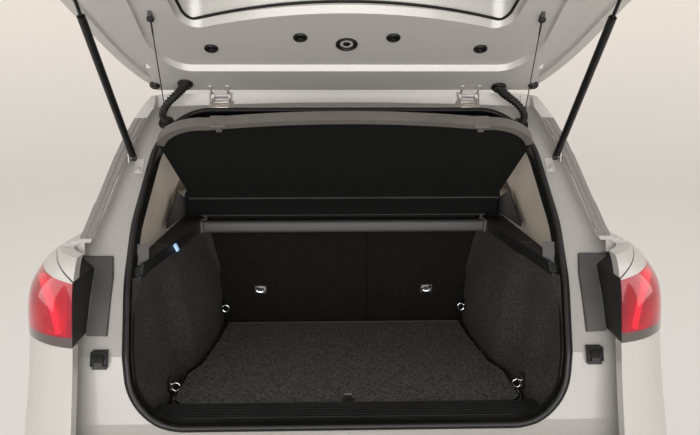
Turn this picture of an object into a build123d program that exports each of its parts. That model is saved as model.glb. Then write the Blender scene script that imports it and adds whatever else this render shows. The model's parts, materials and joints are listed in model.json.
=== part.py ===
from build123d import *
import functools
import math
import os

# Rear body section of a compact crossover: the luggage compartment with its raised tailgate,
# from a joint plane behind the rear doors to the bumper, on its own rear axle and wheels.
# Millimetres. X to the right seen from behind, Y forward, Z up. Heights here are above the
# ground under the tyres; in the files the origin is the middle of the floor pan's joint face.

# Driving dimensions
FLOOR_PAN_TOP = 540
FLOOR_PAN_THICK = 20
ORIGIN_HEIGHT = FLOOR_PAN_TOP - FLOOR_PAN_THICK / 2
JOINT_Y = 0                     # plane where the section meets the rest of the body
WALL = 38                       # body side, roof and bumper, outer skin to inner panel
ROOF_HALF = 575                 # roof panel between the side rails
ROOF_HEIGHT = 1640              # at the joint plane, on the centreline
ROOF_SLOPE = 1.5                # degrees, falling to the rear
ROOF_RADIUS = 12000             # crown across the car
SIDE = 1200                     # half width of the cutting tools
FAR = -2600                     # behind everything

# Outer form, one row per height: height, half width, rearmost y, corner radius, rear bow radius
BODY_ROWS = [
    (200, 862, -1325, 200, 3500),
    (450, 908, -1402, 230, 3500),
    (700, 912, -1372, 240, 3500),
    (950, 905, -1300, 240, 3500),
    (1110, 888, -1264, 240, 3500),
    (1205, 800, -1222, 210, 3500),
]
GLASS_ROWS = [
    (1175, 786, -1226, 205, 3500),
    (1320, 733, -1136, 200, 3500),
    (1500, 678, -1015, 190, 3300),
    (1590, 630, -945, 170, 3200),
    (1660, 560, -860, 150, 3000),
]

# Side view of the painted channel round the boot opening, top to bottom: y, z
CHANNEL_LINE = [(-549, 1700), (-655, 1572), (-935, 1235), (-1060, 1060), (-1145, 920), (-1180, 740),
                (-1180, 100)]
CHANNEL_THICK = 22
SHUT_DEPTH = 45                 # the body side ends this far behind the channel
SHUT_GAP = 6
SEAL_HEIGHT = 16
SEAL_WIDTH = 12
LAND_DEPTH = 22                 # the tailgate's sealing land, behind the channel
STRUT_ROOM = 65                 # the tailgate's face beside the struts, behind the channel

# Boot opening seen from behind: half width, height, corner radius; mirrored for the left side
OPENING_CORNERS = [(585, 730, 150), (618, 1100, 400), (618, 1240, 400), (572, 1554, 165)]

# Tailgate
GATE_HALF = 712                 # below the belt, between the lamps
GATE_STEP = 1202                # above this it spans the full width
GATE_BOTTOM = 665
HINGE_Y, HINGE_Z = -645, 1607
HINGE_X = 400
GATE_OPEN = 80                  # degrees
GATE_WALL = 45                  # outer skin to inner panel
ROOF_LIP = 4                    # rear edge of the roof ahead of the hinge axis
GATE_LIP = 23                   # front edge of the tailgate behind the hinge axis
HEAD_HALF = 599                 # the tailgate's upper edge between the roof rails
GLASS_THICK = 5
GLASS_OUTLINE = [(588, 1104), (528, 1496)]   # half width and height, bottom and top
GLASS_R = 95
WINDOW_LOW, WINDOW_TOP, WINDOW_MID = (486, 1130), (454, 1359), 1292   # clear opening, dipped at the middle
WINDOW_R = 55
RECESS = [(566, 1116), (566, 1380), (522, 1494)]   # sunk field round the window, inside
RECESS_R = 90
RECESS_DEPTH = 20

# Gas struts: ball on the body, ball on the tailgate when shut
STRUT_BODY = (646, -814, 1425)
STRUT_GATE = (646, -1172, 947)
STRUT_TUBE_LENGTH = 535
STRUT_TUBE_R = 10.5
STRUT_ROD_R = 4.5
BALL_R = 6.5

# Load space
LOAD_FLOOR_TOP = 720
LOAD_FLOOR_FRONT, LOAD_FLOOR_REAR = -318, -1036
LOAD_FLOOR_THICK = 18
SHELF_HINGE_Y, SHELF_HINGE_Z = -410, 1165
SHELF_LENGTH = 612
SHELF_THICK = 12
SHELF_HALF = 570
SHELF_RIM = (-10, 16)           # the thick rear edge, under and over the panel's middle
SHELF_RIM_WIDTH = 22
SHELF_OPEN = 37.5
CORD_HOOK = (526, -915, 1291)   # hook on the tailgate when shut
CORD_R = 1.6
SEAT_HALF = 458
SEAT_WINGS = [(190, 458), (310, 484), (472, 514)]   # height over the pivot and half width, beside the trims
SEAT_GAP = 3                    # from the split to either backrest
SEAT_SPLIT = 92                 # x of the split between the two backrests
SEAT_PIVOT_Y, SEAT_PIVOT_Z = -250, 668
SEAT_TOP = 1140
SEAT_LEAN = 11
SEAT_THICK = 88

# Running gear
AXLE_Y = -480
TYRE_R = 345
TYRE_WIDTH = 215
RIM_R = 228
WHEEL_X = 772                   # centre of the tyre
ARCH_R = 383
ARCH_SHEET = 8
ARCH_INNER = 500                # inner wall of the wheelhouse

SIDES = (("left", -1), ("right", 1))


def box(x, y, z):
    """Box between the ends of three ranges."""
    size = [abs(r[1] - r[0]) for r in (x, y, z)]
    mid = [(r[0] + r[1]) / 2 for r in (x, y, z)]
    return Pos(*mid) * Box(*size)


def both(half):
    """The right-hand shape with its mirror image."""
    return Compound(children=[half, mirror(half, Plane.YZ)])


def solids_of(*shapes):
    """One compound of separate solids."""
    return Compound(children=[s for shape in shapes for s in shape.solids()])


def side_profile(points, half=SIDE):
    """Side view outline (y, z) extruded across the car."""
    face = Plane.YZ * make_face(Polyline(*points, close=True))
    return extrude(face, half, both=True)


def rear_profile(face):
    """Rear view face (x, z) extruded along the car."""
    return Pos(0, FAR, 0) * extrude(Plane.XZ * face, FAR - 100)


def plan(row, inset, front):
    z, half, rear, corner, bow = row
    w, yr, rc, rb = half - inset, rear + inset, corner - inset, bow - inset
    s = (w - rc) / (rb - rc)
    c = math.sqrt(1 - s * s)
    cy = yr + rb - (rb - rc) * c
    tangent = (rb * s, yr + rb - rb * c)
    mid = (math.pi / 2 - math.asin(s)) / 2
    bend = (w - rc + rc * math.cos(mid), cy - rc * math.sin(mid))
    edges = [
        Line((-w, front), (w, front)),
        Line((w, front), (w, cy)),
        ThreePointArc((w, cy), bend, tangent),
        ThreePointArc(tangent, (0, yr), (-tangent[0], tangent[1])),
        ThreePointArc((-tangent[0], tangent[1]), (-bend[0], bend[1]), (-w, cy)),
        Line((-w, cy), (-w, front)),
    ]
    return Pos(0, 0, z) * Face(Wire([e.edge() for e in edges]))


def crown(inset):
    """Everything under the roof skin."""
    edge = ROOF_RADIUS - math.sqrt(ROOF_RADIUS**2 - SIDE**2)
    arc = ThreePointArc((-SIDE, -edge), (0, 0), (SIDE, -edge))
    rest = Polyline((SIDE, -edge), (SIDE, -2000), (-SIDE, -2000), (-SIDE, -edge))
    face = Plane.XZ * make_face([arc, rest])
    body = Pos(0, 300, 0) * extrude(face, 2300)
    return Pos(0, JOINT_Y, ROOF_HEIGHT - inset) * Rot(ROOF_SLOPE, 0, 0) * body


@functools.cache
def form(inset, front=JOINT_Y):
    """The outer form of the car's rear, drawn in by a distance."""
    lower = loft([plan(r, inset, front) for r in BODY_ROWS])
    upper = loft([plan(r, inset, front) for r in GLASS_ROWS]) & crown(inset)
    return lower + upper


def layer(start, end, zone):
    """The part of a zone that lies between two depths under the outer form."""
    return (zone & form(start, JOINT_Y + 1)) - form(end, JOINT_Y + 60)


def behind(offset):
    """Everything further back than the channel line moved back by a distance."""
    line = [(y - offset, z) for y, z in CHANNEL_LINE]
    return side_profile(line + [(FAR, line[-1][1]), (FAR, line[0][1])])


def ahead_of(offset):
    """Everything further forward than the channel line moved back by a distance."""
    line = [(y - offset, z) for y, z in CHANNEL_LINE]
    return side_profile(line + [(200, line[-1][1]), (200, line[0][1])])


def opening(grow=0.0):
    """The boot opening seen from behind, as a prism along the car."""
    right = [(x, z) for x, z, r in OPENING_CORNERS]
    left = [(-x, z) for x, z in reversed(right)]
    face = make_face(Polyline(*right, *left, close=True))
    for x, z, r in OPENING_CORNERS:
        ends = [v for v in face.vertices() if abs(abs(v.X) - x) < 1 and abs(v.Y - z) < 1]
        face = fillet(ends, r)
    if grow:
        face = offset(face, amount=grow, kind=Kind.ARC)
    return rear_profile(face)


def turn(shape, y, z, angle):
    """Turns a shape about a cross-car axis; positive lifts what is behind the axis."""
    return Pos(0, y, z) * Rot(-angle, 0, 0) * Pos(0, -y, -z) * shape


def turned(point, y, z, angle):
    """The same turn for one point."""
    a = math.radians(angle)
    dy, dz = point[1] - y, point[2] - z
    return (point[0], y + dy * math.cos(a) + dz * math.sin(a), z - dy * math.sin(a) + dz * math.cos(a))


def rod_between(a, b, radius):
    """Round bar from one point to another."""
    run = Vector(*b) - Vector(*a)
    start = Plane(origin=Vector(*a), z_dir=run)
    return extrude(start * Circle(radius), run.length)


def arch(radius, inner, outer):
    """Round bar on the axle line, on both sides of the car."""
    bar = Pos(inner, AXLE_Y, TYRE_R) * Rot(0, 90, 0) * Cylinder(
        radius, outer - inner, align=(Align.CENTER, Align.CENTER, Align.MIN))
    return bar


def rear_outline(points, radius):
    """Rear view outline (half width, height), mirrored, rounded and extruded along the car."""
    right = list(points)
    left = [(-x, z) for x, z in reversed(right)]
    face = make_face(Polyline(*right, *left, close=True))
    return rear_profile(fillet(face.vertices(), radius))


# Body shell
outer = form(0)
inner = form(WALL, JOINT_Y + 60)
shell = outer - inner

BUMPER_TOP, BUMPER_BOTTOM, BUMPER_FRONT = 655, 392, -880
GATE_EDGE = GATE_HALF + SHUT_GAP
below_step = box((-GATE_EDGE, GATE_EDGE), (FAR, 0), (BUMPER_TOP, GATE_STEP - SHUT_GAP + 1))
above_step = box((-SIDE, SIDE), (FAR, 0), (GATE_STEP - SHUT_GAP, 2000))
head_room = box((-HEAD_HALF - SHUT_GAP, HEAD_HALF + SHUT_GAP), (FAR, HINGE_Y + ROOF_LIP), (1500, 2000))
hinge_notches = both(box((HINGE_X - 38, HINGE_X + 38), (HINGE_Y - 30, HINGE_Y + 16), (1500, 2000)))
gate_space = (behind(SHUT_DEPTH) & (below_step + above_step)) + head_room + hinge_notches
body_wall = shell - gate_space

SILL_BOTTOM = 300
LAMP_BOTTOM, LAMP_TOP, LAMP_FRONT = 975, 1192, -935
LAMP_SLANT = (1142, 800)        # the lamp's top edge falls to this height at the tailgate, from this half width
QUARTER_GLASS = [(-46, 1210), (-46, 1394), (-92, 1394), (-426, 1226), (-440, 1210)]

bumper_zone = box((-SIDE, SIDE), (FAR, BUMPER_FRONT), (0, BUMPER_TOP + 3))


def lamp_space(inset, reach=SIDE):
    """Room of the right-hand body lamp, drawn in all round; its top falls towards the tailgate."""
    x0, z0, z1 = GATE_EDGE + inset, LAMP_BOTTOM + inset, LAMP_TOP - inset
    slant, half = LAMP_SLANT
    face = make_face(Polyline((x0, z0), (x0, slant - inset), (half, z1), (reach, z1), (reach, z0), close=True))
    return rear_profile(face) & box((0, SIDE), (FAR, LAMP_FRONT - inset), (0, 2000))


lamp_zone = lamp_space(0)
glass_zone = side_profile(QUARTER_GLASS)
wheel_zone = both(arch(ARCH_R, ARCH_INNER, SIDE))
roof_zone = box((-ROOF_HALF, ROOF_HALF), (-2000, 100), (1560, 2000))


def make_quarter_panels():
    sides = body_wall - bumper_zone - both(lamp_zone) - glass_zone - wheel_zone - roof_zone
    sides = sides & box((-SIDE, SIDE), (FAR, 100), (SILL_BOTTOM, 2000))
    right = sides & box((100, SIDE), (FAR, 100), (0, 2000))
    return right


def make_roof():
    return body_wall & box((-ROOF_HALF + 1, ROOF_HALF - 1), (-2000, 100), (1560, 2000))


def make_quarter_glass():
    return layer(2, 2 + GLASS_THICK, glass_zone & box((100, SIDE), (FAR, 0), (0, 2000)))


def make_opening_frame():
    """Painted channel plate round the boot opening."""
    plate = (behind(-CHANNEL_THICK) - behind(0)) & form(WALL) & box((-SIDE, SIDE), (FAR, 0), (REAR_PANEL_TOP, 1612))
    behind_lamps = both(box((764, SIDE), (FAR, 0), (LAMP_BOTTOM, LAMP_TOP)))
    return plate - opening() - hinge_notches - behind_lamps


REAR_PANEL_TOP, REAR_PANEL_BOTTOM = 640, 350


def make_rear_panel():
    plate = (behind(-CHANNEL_THICK) - behind(0)) & box((-780, 780), (FAR, 0), (REAR_PANEL_BOTTOM, REAR_PANEL_TOP))
    return plate & form(WALL)


def make_weatherstrip():
    ring = opening(SEAL_WIDTH) - opening()
    return ring & (behind(0) - behind(SEAL_HEIGHT))


def make_bumper():
    """Bumper cover with the ledge that fills the space under the tailgate."""
    wall = shell & box((-SIDE, SIDE), (FAR, BUMPER_FRONT), (BUMPER_BOTTOM, BUMPER_TOP))
    ledge = outer & behind(0) & box((-SIDE, SIDE), (FAR, 0), (BUMPER_TOP - 14, BUMPER_TOP))
    return (wall + ledge) - wheel_zone


def make_valance():
    """Unpainted lower apron, drawn in and cut up towards the middle."""
    return layer(8, WALL, box((-SIDE, SIDE), (FAR, BUMPER_FRONT), (250, BUMPER_BOTTOM))) - wheel_zone


def make_claddings():
    ring = arch(ARCH_R + 42, 700, SIDE) - arch(ARCH_R - 4, 600, SIDE)
    ring &= box((0, SIDE), (FAR, 0), (SILL_BOTTOM, 2000))
    return both(layer(-12, 0, ring))


def make_wheelhouses():
    drum = arch(ARCH_R + ARCH_SHEET, ARCH_INNER - ARCH_SHEET, SIDE) - arch(ARCH_R, ARCH_INNER, SIDE)
    tub = drum & form(WALL) & box((0, SIDE), (FAR, 0), (375, 2000))
    return both(tub)


WELL_Y, WELL_R, WELL_BOTTOM, WELL_SHEET = -805, 300, 350, 10


def make_floor_pan():
    bottom = FLOOR_PAN_TOP - FLOOR_PAN_THICK
    sheet = form(WALL) & box((-SIDE, SIDE), (-1180 + CHANNEL_THICK, 0), (bottom, FLOOR_PAN_TOP))
    sheet -= both(arch(ARCH_R + ARCH_SHEET, ARCH_INNER - ARCH_SHEET, SIDE))
    well = Pos(0, WELL_Y, WELL_BOTTOM) * Cylinder(
        WELL_R + WELL_SHEET, FLOOR_PAN_TOP - WELL_BOTTOM, align=(Align.CENTER, Align.CENTER, Align.MIN))
    hollow = Pos(0, WELL_Y, WELL_BOTTOM + WELL_SHEET) * Cylinder(
        WELL_R, 400, align=(Align.CENTER, Align.CENTER, Align.MIN))
    return (sheet + well) - hollow


RAIL_X = (405, 475)
RAIL_Z = (440, 520)


def make_rails():
    rail = box(RAIL_X, (-1158, 0), RAIL_Z) - box((RAIL_X[0] + 4, RAIL_X[1] - 4), (-1200, 50), (RAIL_Z[0] + 4, RAIL_Z[1] - 4))
    rail -= Pos(0, WELL_Y, 300) * Cylinder(WELL_R + WELL_SHEET + 2, 400, align=(Align.CENTER, Align.CENTER, Align.MIN))
    return both(rail)


# Lamps
LENS_THICK = 4
LAMP_GAP = 2.5                  # from the body panels to the lamp, all round


def make_lamp_housings():
    """Black bowls behind the lenses, with a bare side towards the opening."""
    zone = lamp_space(LAMP_GAP)
    block = layer(LENS_THICK, 85, zone)
    block &= behind(0) + box((764, SIDE), (FAR, 0), (0, 2000))
    block += form(LENS_THICK) & behind(0) & zone & box((0, 764), (FAR, 0), (0, 2000))
    return block - layer(-5, 52, lamp_space(LAMP_GAP + 7))


def make_lamp_lenses():
    return layer(-2, LENS_THICK, lamp_space(LAMP_GAP))


SURROUND_X, SURROUND_Z = (663, 716), (945, 1166)


def make_lamp_surrounds():
    """Plastic covers on the channel, between the struts and the lamps."""
    plate = box(SURROUND_X, (FAR, 0), SURROUND_Z) & (behind(0) - behind(11)) & form(WALL)
    return both(plate)


def make_bump_stops():
    block = box((654, 694), (FAR, 0), (892, 938)) & (behind(0) - behind(14))
    cushion = box((663, 685), (FAR, 0), (901, 929)) & (behind(14) - behind(22))
    return both(block), both(cushion)


# Tailgate, drawn shut
@functools.cache
def gate_block():
    span = box((-GATE_HALF, GATE_HALF), (FAR, 0), (GATE_BOTTOM, GATE_STEP + 1))
    span += box((-SIDE, SIDE), (FAR, 0), (GATE_STEP, 2000))
    head = box((-HEAD_HALF, HEAD_HALF), (FAR, HINGE_Y - GATE_LIP), (1480, 2000))
    land = (opening(SEAL_WIDTH + 1) + head) & behind(LAND_DEPTH)
    room = behind(STRUT_ROOM) & span
    flank = (behind(SHUT_DEPTH + SHUT_GAP) & span) - form(30)
    body = (room + flank + (land & span)) & outer
    return body - box((-HEAD_HALF - 1, HEAD_HALF + 1), (HINGE_Y - GATE_LIP, 100), (1480, 2000))


def window():
    """Clear opening through the tailgate, with its upper edge dipped at the middle."""
    (x0, z0), (x1, z1) = WINDOW_LOW, WINDOW_TOP
    edges = [Line((-x0, z0), (x0, z0)), Line((x0, z0), (x1, z1)),
             ThreePointArc((x1, z1), (0, WINDOW_MID), (-x1, z1)), Line((-x1, z1), (-x0, z0))]
    face = make_face([e.edge() for e in edges])
    return rear_profile(fillet(face.vertices(), WINDOW_R))


PLATE_RECESS = [(270, 760), (270, 905)]
GATE_LAMP_X = 604
CAVITY = [(560, 715), (575, 1100)]


def gate_cavity():
    """Hollow behind the lower trim."""
    return rear_outline(CAVITY, 90)


def make_gate_panel():
    panel = gate_block()
    panel -= gate_cavity() & form(GATE_WALL)
    panel -= rear_outline(RECESS, RECESS_R) - behind(LAND_DEPTH + RECESS_DEPTH)
    panel -= window()
    panel -= rear_outline(GLASS_OUTLINE, GLASS_R) - form(GLASS_THICK)
    panel -= rear_outline(PLATE_RECESS, 25) - form(22)
    panel -= gate_lamp_zone() - form(12)
    return panel


def gate_lamp_zone():
    return both(box((GATE_LAMP_X, GATE_HALF + 5), (FAR, 0), (LAMP_BOTTOM + 3, LAMP_TOP - 3)))


def make_gate_glass():
    return layer(0, GLASS_THICK, rear_outline(GLASS_OUTLINE, GLASS_R) & box((-SIDE, SIDE), (FAR, -900), (0, 2000)))


def make_gate_lamps():
    return layer(0, 12, gate_lamp_zone() & box((-GATE_HALF, GATE_HALF), (FAR, -1000), (0, 2000)))


def make_gate_trim():
    """Lower inner trim with a grab recess and the hole for the latch."""
    plate = gate_cavity() & (behind(LAND_DEPTH + 4) - behind(LAND_DEPTH + 8))
    grab = box((180, 330), (FAR, 0), (770, 815)) & behind(LAND_DEPTH) - behind(LAND_DEPTH + 50)
    cup = box((176, 334), (FAR, 0), (766, 819)) & (behind(LAND_DEPTH + 4) - behind(LAND_DEPTH + 54))
    return (plate + cup) - grab


PLUGS = [(-392, 1424, 19), (-132, 1380, 19), (0, 1407, 30), (132, 1380, 19), (392, 1424, 19)]


def make_plugs():
    depth = LAND_DEPTH + RECESS_DEPTH
    caps = []
    for x, z, r in PLUGS:
        disc = rear_profile(Pos(x, z) * Circle(r)) & (behind(depth - 3) - behind(depth))
        caps.append(disc)
    return solids_of(*caps)


def make_gate_arms():
    arm = box((HINGE_X - 20, HINGE_X + 20), (HINGE_Y - GATE_LIP - 2, HINGE_Y), (HINGE_Z - 6, HINGE_Z + 5))
    knuckle = Pos(HINGE_X, HINGE_Y, HINGE_Z) * Rot(0, 90, 0) * Cylinder(8, 40)
    bore = Pos(HINGE_X, HINGE_Y, HINGE_Z) * Rot(0, 90, 0) * Cylinder(4.2, 60)
    return both((arm + knuckle) - bore - gate_block())


def make_hinge_leaves():
    """Body leaves: a foot on the channel, two ears and the pin."""
    foot_y = HINGE_Y + 16
    ears = box((HINGE_X + 22, HINGE_X + 30), (HINGE_Y - 8, foot_y), (HINGE_Z - 8, HINGE_Z + 4))
    ears += box((HINGE_X - 30, HINGE_X - 22), (HINGE_Y - 8, foot_y), (HINGE_Z - 8, HINGE_Z + 4))
    foot = box((HINGE_X - 37, HINGE_X + 37), (foot_y - 5, foot_y), (HINGE_Z - 40, HINGE_Z + 4))
    pin = Pos(HINGE_X, HINGE_Y, HINGE_Z) * Rot(0, 90, 0) * Cylinder(4, 64)
    return both((ears + foot) + pin)


# Interior: y, then the liner's inner face as half widths at five heights
TRIM_HEIGHTS = (FLOOR_PAN_TOP, 760, 860, 980, 1108)
TRIM_ROWS = [
    (-180, 474, 474, 474, 500, 530),
    (-268, 474, 474, 474, 500, 530),
    (-500, 474, 475, 476, 500, 545),
    (-720, 500, 506, 520, 540, 560),
    (-800, 535, 541, 590, 600, 575),
    (-1020, 540, 546, 600, 606, 590),
    (-1154, 560, 566, 585, 592, 596),
]
TRIM_THICK = 10


def trim_solid(shift):
    """Everything outboard of the liner's inner face moved outwards."""
    faces = []
    for y, *halves in TRIM_ROWS:
        points = [(half + shift, z) for half, z in zip(halves, TRIM_HEIGHTS)]
        points += [(800, TRIM_HEIGHTS[-1]), (800, TRIM_HEIGHTS[0])]
        faces.append(Pos(0, y, 0) * (Plane.XZ * make_face(Polyline(*points, close=True))))
    return loft(faces, ruled=True)


def make_side_trim():
    liner = trim_solid(0) - trim_solid(TRIM_THICK)
    liner &= form(WALL + 2) & ahead_of(-CHANNEL_THICK - 1)
    liner -= arch(ARCH_R + ARCH_SHEET + 1, ARCH_INNER - ARCH_SHEET - 1, SIDE)
    cover = arch(ARCH_R + ARCH_SHEET + 1 + 8, ARCH_INNER - ARCH_SHEET - 9, 640)
    cover -= arch(ARCH_R + ARCH_SHEET + 1, ARCH_INNER - ARCH_SHEET - 1, SIDE)
    cover &= trim_solid(2) & box((0, SIDE), (-1154, TRIM_ROWS[0][0]), (TRIM_HEIGHTS[0], TRIM_HEIGHTS[-1]))
    return liner + cover


LEDGE_Z = (1108, 1130)
LEDGE_OUTER = 708               # clear of the lamp housings


def make_side_ledges():
    """Shelf rests on top of the side trims, with a raised lip along the inner edge."""
    face = Plane.XY.offset(LEDGE_Z[0]) * make_face(
        Polyline((530, -180), (530, -268), (545, -500), (588, -1000), (SIDE, -1000), (SIDE, -180), close=True))
    slab = extrude(face, LEDGE_Z[1] - LEDGE_Z[0]) & form(WALL) & ahead_of(-CHANNEL_THICK - 1)
    slab &= box((0, LEDGE_OUTER), (FAR, 0), LEDGE_Z)
    lip = extrude(Plane.XY.offset(LEDGE_Z[1]) * make_face(
        Polyline((536, -440), (545, -500), (588, -985), (594, -985), (551, -500), (542, -440), close=True)), 7)
    return both(slab + lip)


PILLAR_TRIM_Z = (LEDGE_Z[1] + 2, 1536)
LINING = (9, 14)                # the pillar and roof lining stands this far outside the opening


def lining_ring():
    """Lining that carries the opening's shape forward into the cabin."""
    ring = opening(LINING[1]) - opening(LINING[0])
    return ring & ahead_of(-CHANNEL_THICK - 1) & box((-SIDE, SIDE), (FAR, JOINT_Y - 4), (0, 2000))


def window_prism(grow):
    face = offset(make_face(Polyline(*QUARTER_GLASS, close=True)), amount=grow)
    return extrude(Plane.YZ * face, SIDE)


def make_pillar_trims():
    """Inner trims of the rear pillars, flush with the boot opening, with a reveal round the side window."""
    zone = box((400, SIDE), (FAR, JOINT_Y - 4), PILLAR_TRIM_Z)
    wall = lining_ring() & zone
    reveal = (window_prism(8) - window_prism(4)) & (form(WALL + 1) - opening(LINING[0])) & zone
    return both((wall + reveal) - window_prism(4))


def make_headliner():
    """Roof lining, with its arch that meets the pillar trims over the boot opening."""
    roof = layer(WALL, WALL + 10, box((-SIDE, SIDE), (-616, 0), (PILLAR_TRIM_Z[1] + 5, 2000)))
    arch_lining = lining_ring() & box((-SIDE, SIDE), (HINGE_Y + 20, 0), (PILLAR_TRIM_Z[1] + 1, 2000))
    return solids_of(roof, arch_lining)


BAR_Y, BAR_Z, BAR_HALF = (-432, -396), (1130, 1149), 529


def make_shelf_bar():
    bar = box((-BAR_HALF, BAR_HALF), BAR_Y, BAR_Z)
    ears = both(box((505, 511), (SHELF_HINGE_Y - 8, SHELF_HINGE_Y + 8), (BAR_Z[1], SHELF_HINGE_Z + 6)))
    pins = both(Pos(500, SHELF_HINGE_Y, SHELF_HINGE_Z) * Rot(0, 90, 0) * Cylinder(3, 24))
    return fillet(bar.edges().filter_by(Axis.X), 4) + ears + pins


def make_shelf():
    """Flat panel with an arched rear edge, drawn lowered, notched round the hinge ears."""
    y0 = SHELF_HINGE_Y + 10
    rear = SHELF_HINGE_Y - SHELF_LENGTH
    corner = (SHELF_HALF, rear + 105)
    edges = [
        Line((-505, y0), (505, y0)), Line((505, y0), (520, y0 - 40)), Line((520, y0 - 40), corner),
        ThreePointArc(corner, (SHELF_HALF - 50, rear + 38), (SHELF_HALF - 160, rear + 6)),
        ThreePointArc((SHELF_HALF - 160, rear + 6), (0, rear - 26), (160 - SHELF_HALF, rear + 6)),
        ThreePointArc((160 - SHELF_HALF, rear + 6), (50 - SHELF_HALF, rear + 38), (-SHELF_HALF, rear + 105)),
        Line((-SHELF_HALF, rear + 105), (-520, y0 - 40)), Line((-520, y0 - 40), (-505, y0)),
    ]
    face = Face(Wire([e.edge() for e in edges]))
    panel = extrude(Pos(0, 0, SHELF_HINGE_Z - SHELF_THICK / 2) * face, SHELF_THICK, dir=(0, 0, 1))
    low, high = SHELF_RIM
    rim = extrude(Pos(0, 0, SHELF_HINGE_Z + low) * face, high - low, dir=(0, 0, 1))
    rim -= Pos(0, SHELF_RIM_WIDTH, SHELF_HINGE_Z - 50) * extrude(face, 100, dir=(0, 0, 1))
    rim &= box((-SHELF_HALF, SHELF_HALF), (FAR, rear + 105), (0, 2000))
    panel += rim
    slots = both(box((487, 560), (SHELF_HINGE_Y - 14, y0 + 5), (0, 2000)))
    knuckles = both(Pos(495, SHELF_HINGE_Y, SHELF_HINGE_Z) * Rot(0, 90, 0) * Cylinder(6, 12))
    bore = Pos(0, SHELF_HINGE_Y, SHELF_HINGE_Z) * Rot(0, 90, 0) * Cylinder(3.3, 1060)
    strap = both(box((487, 501), (SHELF_HINGE_Y - 15, SHELF_HINGE_Y), (SHELF_HINGE_Z - 5, SHELF_HINGE_Z + 5)))
    return ((panel - slots) + knuckles + strap) - bore


EYE_X = SHELF_HALF - 28
EYE_Y = SHELF_HINGE_Y - SHELF_LENGTH + 125


def make_shelf_eyes():
    peg = Pos(EYE_X, EYE_Y, SHELF_HINGE_Z + SHELF_THICK / 2 + 7) * Cylinder(5, 14)
    head = Pos(EYE_X, EYE_Y, SHELF_HINGE_Z + SHELF_THICK / 2 + 16) * Cylinder(8, 4)
    return both(peg + head)


STRAP_Y = LOAD_FLOOR_REAR + 26


def make_load_floor():
    """Hinged boot floor with rounded rear corners and a slot for its strap."""
    y0, y1 = LOAD_FLOOR_FRONT, LOAD_FLOOR_REAR
    face = make_face(Polyline((-462, y0), (462, y0), (470, -500), (492, -720), (524, -800), (528, y1),
                              (-528, y1), (-524, -800), (-492, -720), (-470, -500), close=True))
    ends = [v for v in face.vertices() if v.Y < y1 + 1]
    face = fillet(ends, 60)
    panel = extrude(Pos(0, 0, LOAD_FLOOR_TOP - LOAD_FLOOR_THICK) * face, LOAD_FLOOR_THICK)
    dish = Pos(0, STRAP_Y, LOAD_FLOOR_TOP - 3) * Box(34, 42, 8, align=(Align.CENTER, Align.CENTER, Align.MIN))
    return panel - dish


def make_load_floor_strap():
    return Pos(0, STRAP_Y, LOAD_FLOOR_TOP - 3) * Box(18, 34, 9, align=(Align.CENTER, Align.CENTER, Align.MIN))


def make_floor_supports():
    """Cross member under the floor's hinge and a foam tray that the floor lies on."""
    top = LOAD_FLOOR_TOP - LOAD_FLOOR_THICK - 0.5
    member = box((-474, 474), (LOAD_FLOOR_FRONT - 26, LOAD_FLOOR_FRONT - 4), (FLOOR_PAN_TOP, top))
    tray = box((-460, 460), (-1030, LOAD_FLOOR_FRONT - 30), (FLOOR_PAN_TOP, top))
    tray -= box((-400, 400), (-980, -390), (FLOOR_PAN_TOP + 25, 2000))
    tray -= Pos(0, WELL_Y, 300) * Cylinder(WELL_R - 25, 600)
    return member, tray


SILL_FRONT = LOAD_FLOOR_REAR - 6


def make_sill_trim():
    """Ribbed cover over the rear panel, between the load floor and the opening."""
    points = [(SILL_FRONT, 540), (SILL_FRONT, LOAD_FLOOR_TOP), (SILL_FRONT - 14, 738), (-1157, 738), (-1157, 540)]
    block = side_profile(points, 542)
    hollow = side_profile([(SILL_FRONT - 4, 500), (SILL_FRONT - 4, 716), (-1153, 730), (-1153, 500)], 538)
    ribs = [box((-500, 500), (y - 3, y + 3), (737, 741)) for y in range(-1066, -1150, -16)]
    body = block - hollow
    for rib in ribs:
        body += rib
    return body


def seat_section(side):
    """Backrest drawn upright from the split to the side, wider above the wheelhouse, leaning back."""
    edge = SEAT_SPLIT + side * SEAT_GAP
    top = SEAT_TOP - SEAT_PIVOT_Z
    outline = [(edge, top), (edge, 22), (side * SEAT_HALF, 22)]
    outline += [(side * half, height) for height, half in SEAT_WINGS]
    face = make_face(Polyline(*outline, close=True))
    slab = extrude(Plane.XZ * face, SEAT_THICK / 2, both=True)
    slab = fillet(slab.edges(), 16)
    return Pos(0, SEAT_PIVOT_Y, SEAT_PIVOT_Z) * Rot(SEAT_LEAN, 0, 0) * slab


def headrest(x):
    pad = Pos(x, 0, SEAT_TOP - SEAT_PIVOT_Z + 95) * Box(230, 76, 120)
    pad = fillet(pad.edges(), 24)
    posts = [Pos(x + d, 0, SEAT_TOP - SEAT_PIVOT_Z + 21) * Cylinder(6, 42) for d in (-60, 60)]
    return Pos(0, SEAT_PIVOT_Y, SEAT_PIVOT_Z) * Rot(SEAT_LEAN, 0, 0) * (pad + posts[0] + posts[1])


def pivot_arm(x):
    arm = box((x - 3, x + 3), (-16, 16), (0, 22))
    hub = Pos(x, 0, 0) * Rot(0, 90, 0) * Cylinder(16, 6)
    bore = Pos(x, 0, 0) * Rot(0, 90, 0) * Cylinder(7.3, 20)
    return Pos(0, SEAT_PIVOT_Y, SEAT_PIVOT_Z) * ((Rot(SEAT_LEAN, 0, 0) * arm + hub) - bore)


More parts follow.
